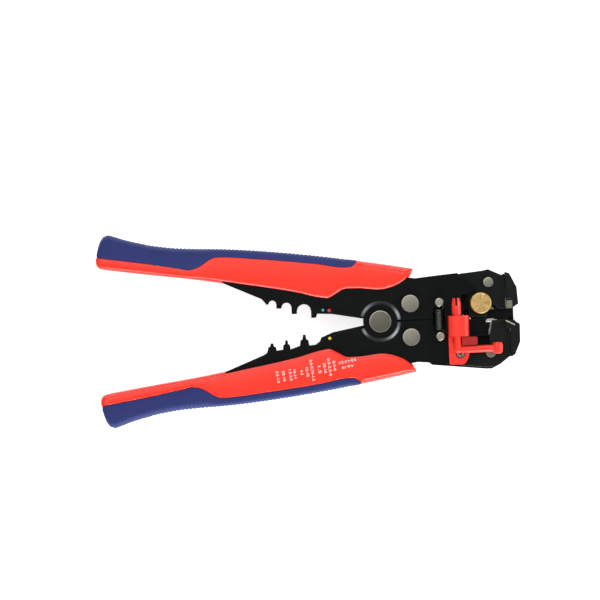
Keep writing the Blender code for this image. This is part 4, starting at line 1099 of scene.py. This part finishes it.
class STRIPPER_OT_length_stop(bpy.types.Operator):
    """Moulded bracket, swinging arm and sliding fence, and the screw"""
    bl_idname = "stripper.length_stop"
    bl_label = "Length stop"

    def execute(self, context):
        rounding = sizes().plastic_round
        finished_node(
            "stop_bracket", "stop", rounding, segments=3, prepare=round_bracket
        )
        finished_node("stop_arm", "stop", 0.12 * MM, angle=50.0)
        finished_node("stop_fence", "fence", rounding, segments=3)
        screw = finished_node("stop_screw", "pin", 0.15 * MM)
        x, y, top = 38.2, -17.0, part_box("stop_screw")[1].z / MM
        for turn in (25, 115):
            start_fresh()
            bpy.ops.mesh.primitive_cube_add(size=1.0)
            bit = bpy.context.object
            bit.scale = (2.4 * MM, 0.45 * MM, 1.0 * MM)
            bit.rotation_euler = (0.0, 0.0, math.radians(turn))
            bit.location = (x * MM, y * MM, top * MM)
            cut_away(screw, bit)

        def in_shade(at, normal):
            """Painted shade: the screw's rim and the floor and walls of its cross get the darkest
            steel.
            """
            reach = math.hypot(at.x - x, at.y - y)
            return reach > 1.62 or top - 0.6 < at.z < top - 0.02 and reach < 1.3

        recolour(screw, "holder", in_shade)
        return {"FINISHED"}


# Enamel dots on the lever plates: name, x, y and radius in millimetres, finish, lever
SIZE_DOTS = (
    ("blue_size_dot", -27.6, 6.6, 0.6, "blue_dot", "upper"),
    ("red_size_dot", -24.6, 6.3, 0.8, "red_dot", "upper"),
    ("yellow_size_dot", -24.8, -7.2, 0.75, "yellow_dot", "lower"),
)
# Columns of wire sizes: start (x, y) and length in millimetres, direction in degrees, numbers
NUMBER_COLUMNS = (
    (-51.6, -22.2, 5.8, -83, "0.5-1.0"), (-48.6, -22.1, 5.2, -83, "22-16"),
    (-45.4, -21.2, 5.8, -83, "1.5-2.5"), (-43.2, -21.4, 4.8, -83, "16-14"),
    (-39.7, -22.0, 2.5, -83, "4-6"), (-37.2, -20.6, 4.9, -83, "12-10"),
    (-35.1, -17.2, 10.4, -83, "0.5-0.75-1.5"), (-31.2, -19.8, 4.3, -83, "1.5"),
    (-28.6, -19.1, 4.9, -83, "22-10"), (-26.5, -16.9, 8.6, -83, "0.5-2.5-6"),
    (-23.9, -18.2, 4.9, -83, "0.5-6"), (-12.6, -17.4, 8.6, 190, "0.5-1.5-2.5"),
    (-14.0, -20.2, 5.6, 190, "4-6-10"),
)


class STRIPPER_OT_size_marks(bpy.types.Operator):
    """Enamel dots on the crimping plates and plain size numbers on the lower grip"""
    bl_idname = "stripper.size_marks"
    bl_label = "Size marks"

    def execute(self, context):
        for name, x, y, r, key, prefix in SIZE_DOTS:
            drop = [
                (r, PLATE_TOP - 0.1), (r, PLATE_TOP + 0.02), (r * 0.8, PLATE_TOP + 0.08),
                (r * 0.3, PLATE_TOP + 0.1),
            ]
            piece = turned_piece(x, y, drop, 24)
            smooth(60)
            settle(piece, name, prefix + "_lever", key)
        # Wire sizes as plain numbers, in columns below the crimping teeth
        start_fresh()
        made = []
        grip_top = 2 * BASE + 0.005
        for x, y, length, turn, text in NUMBER_COLUMNS:
            bpy.ops.object.text_add(
                location=(x * MM, y * MM, grip_top * MM), rotation=(0, 0, math.radians(turn))
            )
            line = bpy.context.object
            line.data.body = text
            line.data.size = 1.75 * MM
            line.data.extrude = 0.008 * MM
            line.data.offset = 0.02 * MM
            bpy.ops.object.convert(target="MESH")
            line = bpy.context.object
            long = max(v.co.x for v in line.data.vertices)
            line.scale = (length * MM / long, 1.0, 1.0)
            made.append(line)
        bpy.ops.object.select_all(action="DESELECT")
        for line in made:
            line.select_set(True)
        bpy.context.view_layer.objects.active = made[0]
        bpy.ops.object.transform_apply(location=True, rotation=True, scale=True)
        bpy.ops.object.join()
        settle(bpy.context.object, "size_numbers", "lower_lever", "ink")
        return {"FINISHED"}


# Lamps: name, place and size in metres, power in watts
LAMPS = (
    ("key_strip", (0.1, -0.85, 0.3), (1.1, 0.16), 9.0),
    ("top_box", (-0.2, 0.45, 0.95), (0.9, 0.9), 3.2),
    ("back_strip", (-0.15, 0.9, 0.3), (0.8, 0.3), 2.2),
    ("right_box", (0.85, 0.0, 0.4), (0.5, 0.3), 2.6),
)
LAMPS_AIM = Vector((-0.03, 0.0, 0.01))
# The photograph's frame, in metres and degrees: the camera looks down on this point and is
# turned a little, and the view is this wide there
VIEW_AT, VIEW_WIDTH, VIEW_TURN = (-0.0385, 0.0119, 0.014), 0.2911, -2.19
CAMERA_DISTANCE, SENSOR_WIDTH = 2.4, 36.0


class STRIPPER_OT_studio(bpy.types.Operator):
    """Pale floor, soft lights and the camera above the tool"""
    bl_idname = "stripper.studio"
    bl_label = "Studio"

    def execute(self, context):
        start_fresh()
        bpy.ops.mesh.primitive_plane_add(size=6.0, location=(-0.038, 0.0114, 0.0))
        floor = bpy.context.object
        floor.name = "studio_floor"
        white = (1.0, 1.0, 1.0, 1.0)
        mat, tree, shader = blank("matt_white_sweep", {
            "Base Color": colours().floor, "Roughness": 0.9, "Specular IOR Level": 0.1,
            "Emission Color": white,
        })
        # Seen directly, or in metal, the floor is close to white; it still catches the shadow
        path = add(tree, "ShaderNodeLightPath")
        seen = add(
            tree, "ShaderNodeMath", {"operation": "MAXIMUM"},
            {0: path.outputs["Is Camera Ray"], 1: path.outputs["Is Glossy Ray"]},
        )
        lift = add(
            tree, "ShaderNodeMath", {"operation": "MULTIPLY", 1: 0.75}, {0: seen.outputs[0]}
        )
        tree.links.new(lift.outputs[0], shader.inputs["Emission Strength"])
        floor.data.materials.append(mat)

        world = bpy.data.worlds.new("soft_tent")
        bpy.context.scene.world = world
        world.use_nodes = True
        back = world.node_tree.nodes["Background"]
        back.inputs["Color"].default_value = white
        back.inputs["Strength"].default_value = 0.5

        for name, place, size, power in LAMPS:
            light = bpy.data.lights.new(name, "AREA")
            light.shape = "RECTANGLE"
            light.size, light.size_y = size
            light.energy = power
            lamp = bpy.data.objects.new(name, light)
            bpy.context.collection.objects.link(lamp)
            lamp.location = place
            aim = LAMPS_AIM - Vector(place)
            lamp.rotation_euler = aim.to_track_quat("-Z", "Y").to_euler()

        camera_data = bpy.data.cameras.new("overhead_camera")
        camera_data.sensor_width = SENSOR_WIDTH
        camera_data.lens = SENSOR_WIDTH * CAMERA_DISTANCE / VIEW_WIDTH
        camera_data.clip_start = 0.01
        camera = bpy.data.objects.new("overhead_camera", camera_data)
        bpy.context.collection.objects.link(camera)
        x, y, z = VIEW_AT
        camera.location = (x, y, z + CAMERA_DISTANCE)
        camera.rotation_euler = (0.0, 0.0, math.radians(VIEW_TURN))
        bpy.context.scene.camera = camera
        bpy.context.scene.view_settings.view_transform = "Standard"
        return {"FINISHED"}


class STRIPPER_PT_panel(bpy.types.Panel):
    """Sidebar panel with the sizes, the colours and one button per group of pieces"""
    bl_idname = "STRIPPER_PT_panel"
    bl_label = "Wire stripper"
    bl_space_type = "VIEW_3D"
    bl_region_type = "UI"
    bl_category = "Stripper"

    def draw(self, context):
        layout = self.layout
        for group in (context.scene.stripper_sizes, context.scene.stripper_colours):
            box = layout.box()
            for key in settings_in(group):
                box.prop(group, key)
        for step in STEPS:
            layout.operator(step.bl_idname)


STEPS = (
    STRIPPER_OT_studio, STRIPPER_OT_lever_plates, STRIPPER_OT_grips, STRIPPER_OT_grip_inserts,
    STRIPPER_OT_rivets, STRIPPER_OT_return_spring, STRIPPER_OT_gripping_jaws,
    STRIPPER_OT_adjusting_knob, STRIPPER_OT_stripping_blades, STRIPPER_OT_length_stop,
    STRIPPER_OT_size_marks,
)
CLASSES = (StripperSizes, StripperColours, *STEPS, STRIPPER_PT_panel)


def register():
    """Adds the settings, the steps and the panel to Blender."""
    for cls in CLASSES:
        bpy.utils.register_class(cls)
    bpy.types.Scene.stripper_sizes = PointerProperty(type=StripperSizes)
    bpy.types.Scene.stripper_colours = PointerProperty(type=StripperColours)


def unregister():
    """Takes them out again."""
    del bpy.types.Scene.stripper_colours
    del bpy.types.Scene.stripper_sizes
    for cls in reversed(CLASSES):
        bpy.utils.unregister_class(cls)


def main():
    """Runs every step in order."""
    register()
    bpy.ops.stripper.studio()
    bpy.ops.stripper.lever_plates()
    bpy.ops.stripper.grips()
    bpy.ops.stripper.grip_inserts()
    bpy.ops.stripper.rivets()
    bpy.ops.stripper.return_spring()
    bpy.ops.stripper.gripping_jaws()
    bpy.ops.stripper.adjusting_knob()
    bpy.ops.stripper.stripping_blades()
    bpy.ops.stripper.length_stop()
    bpy.ops.stripper.size_marks()
    start_fresh()


if __name__ == "__main__":
    main()
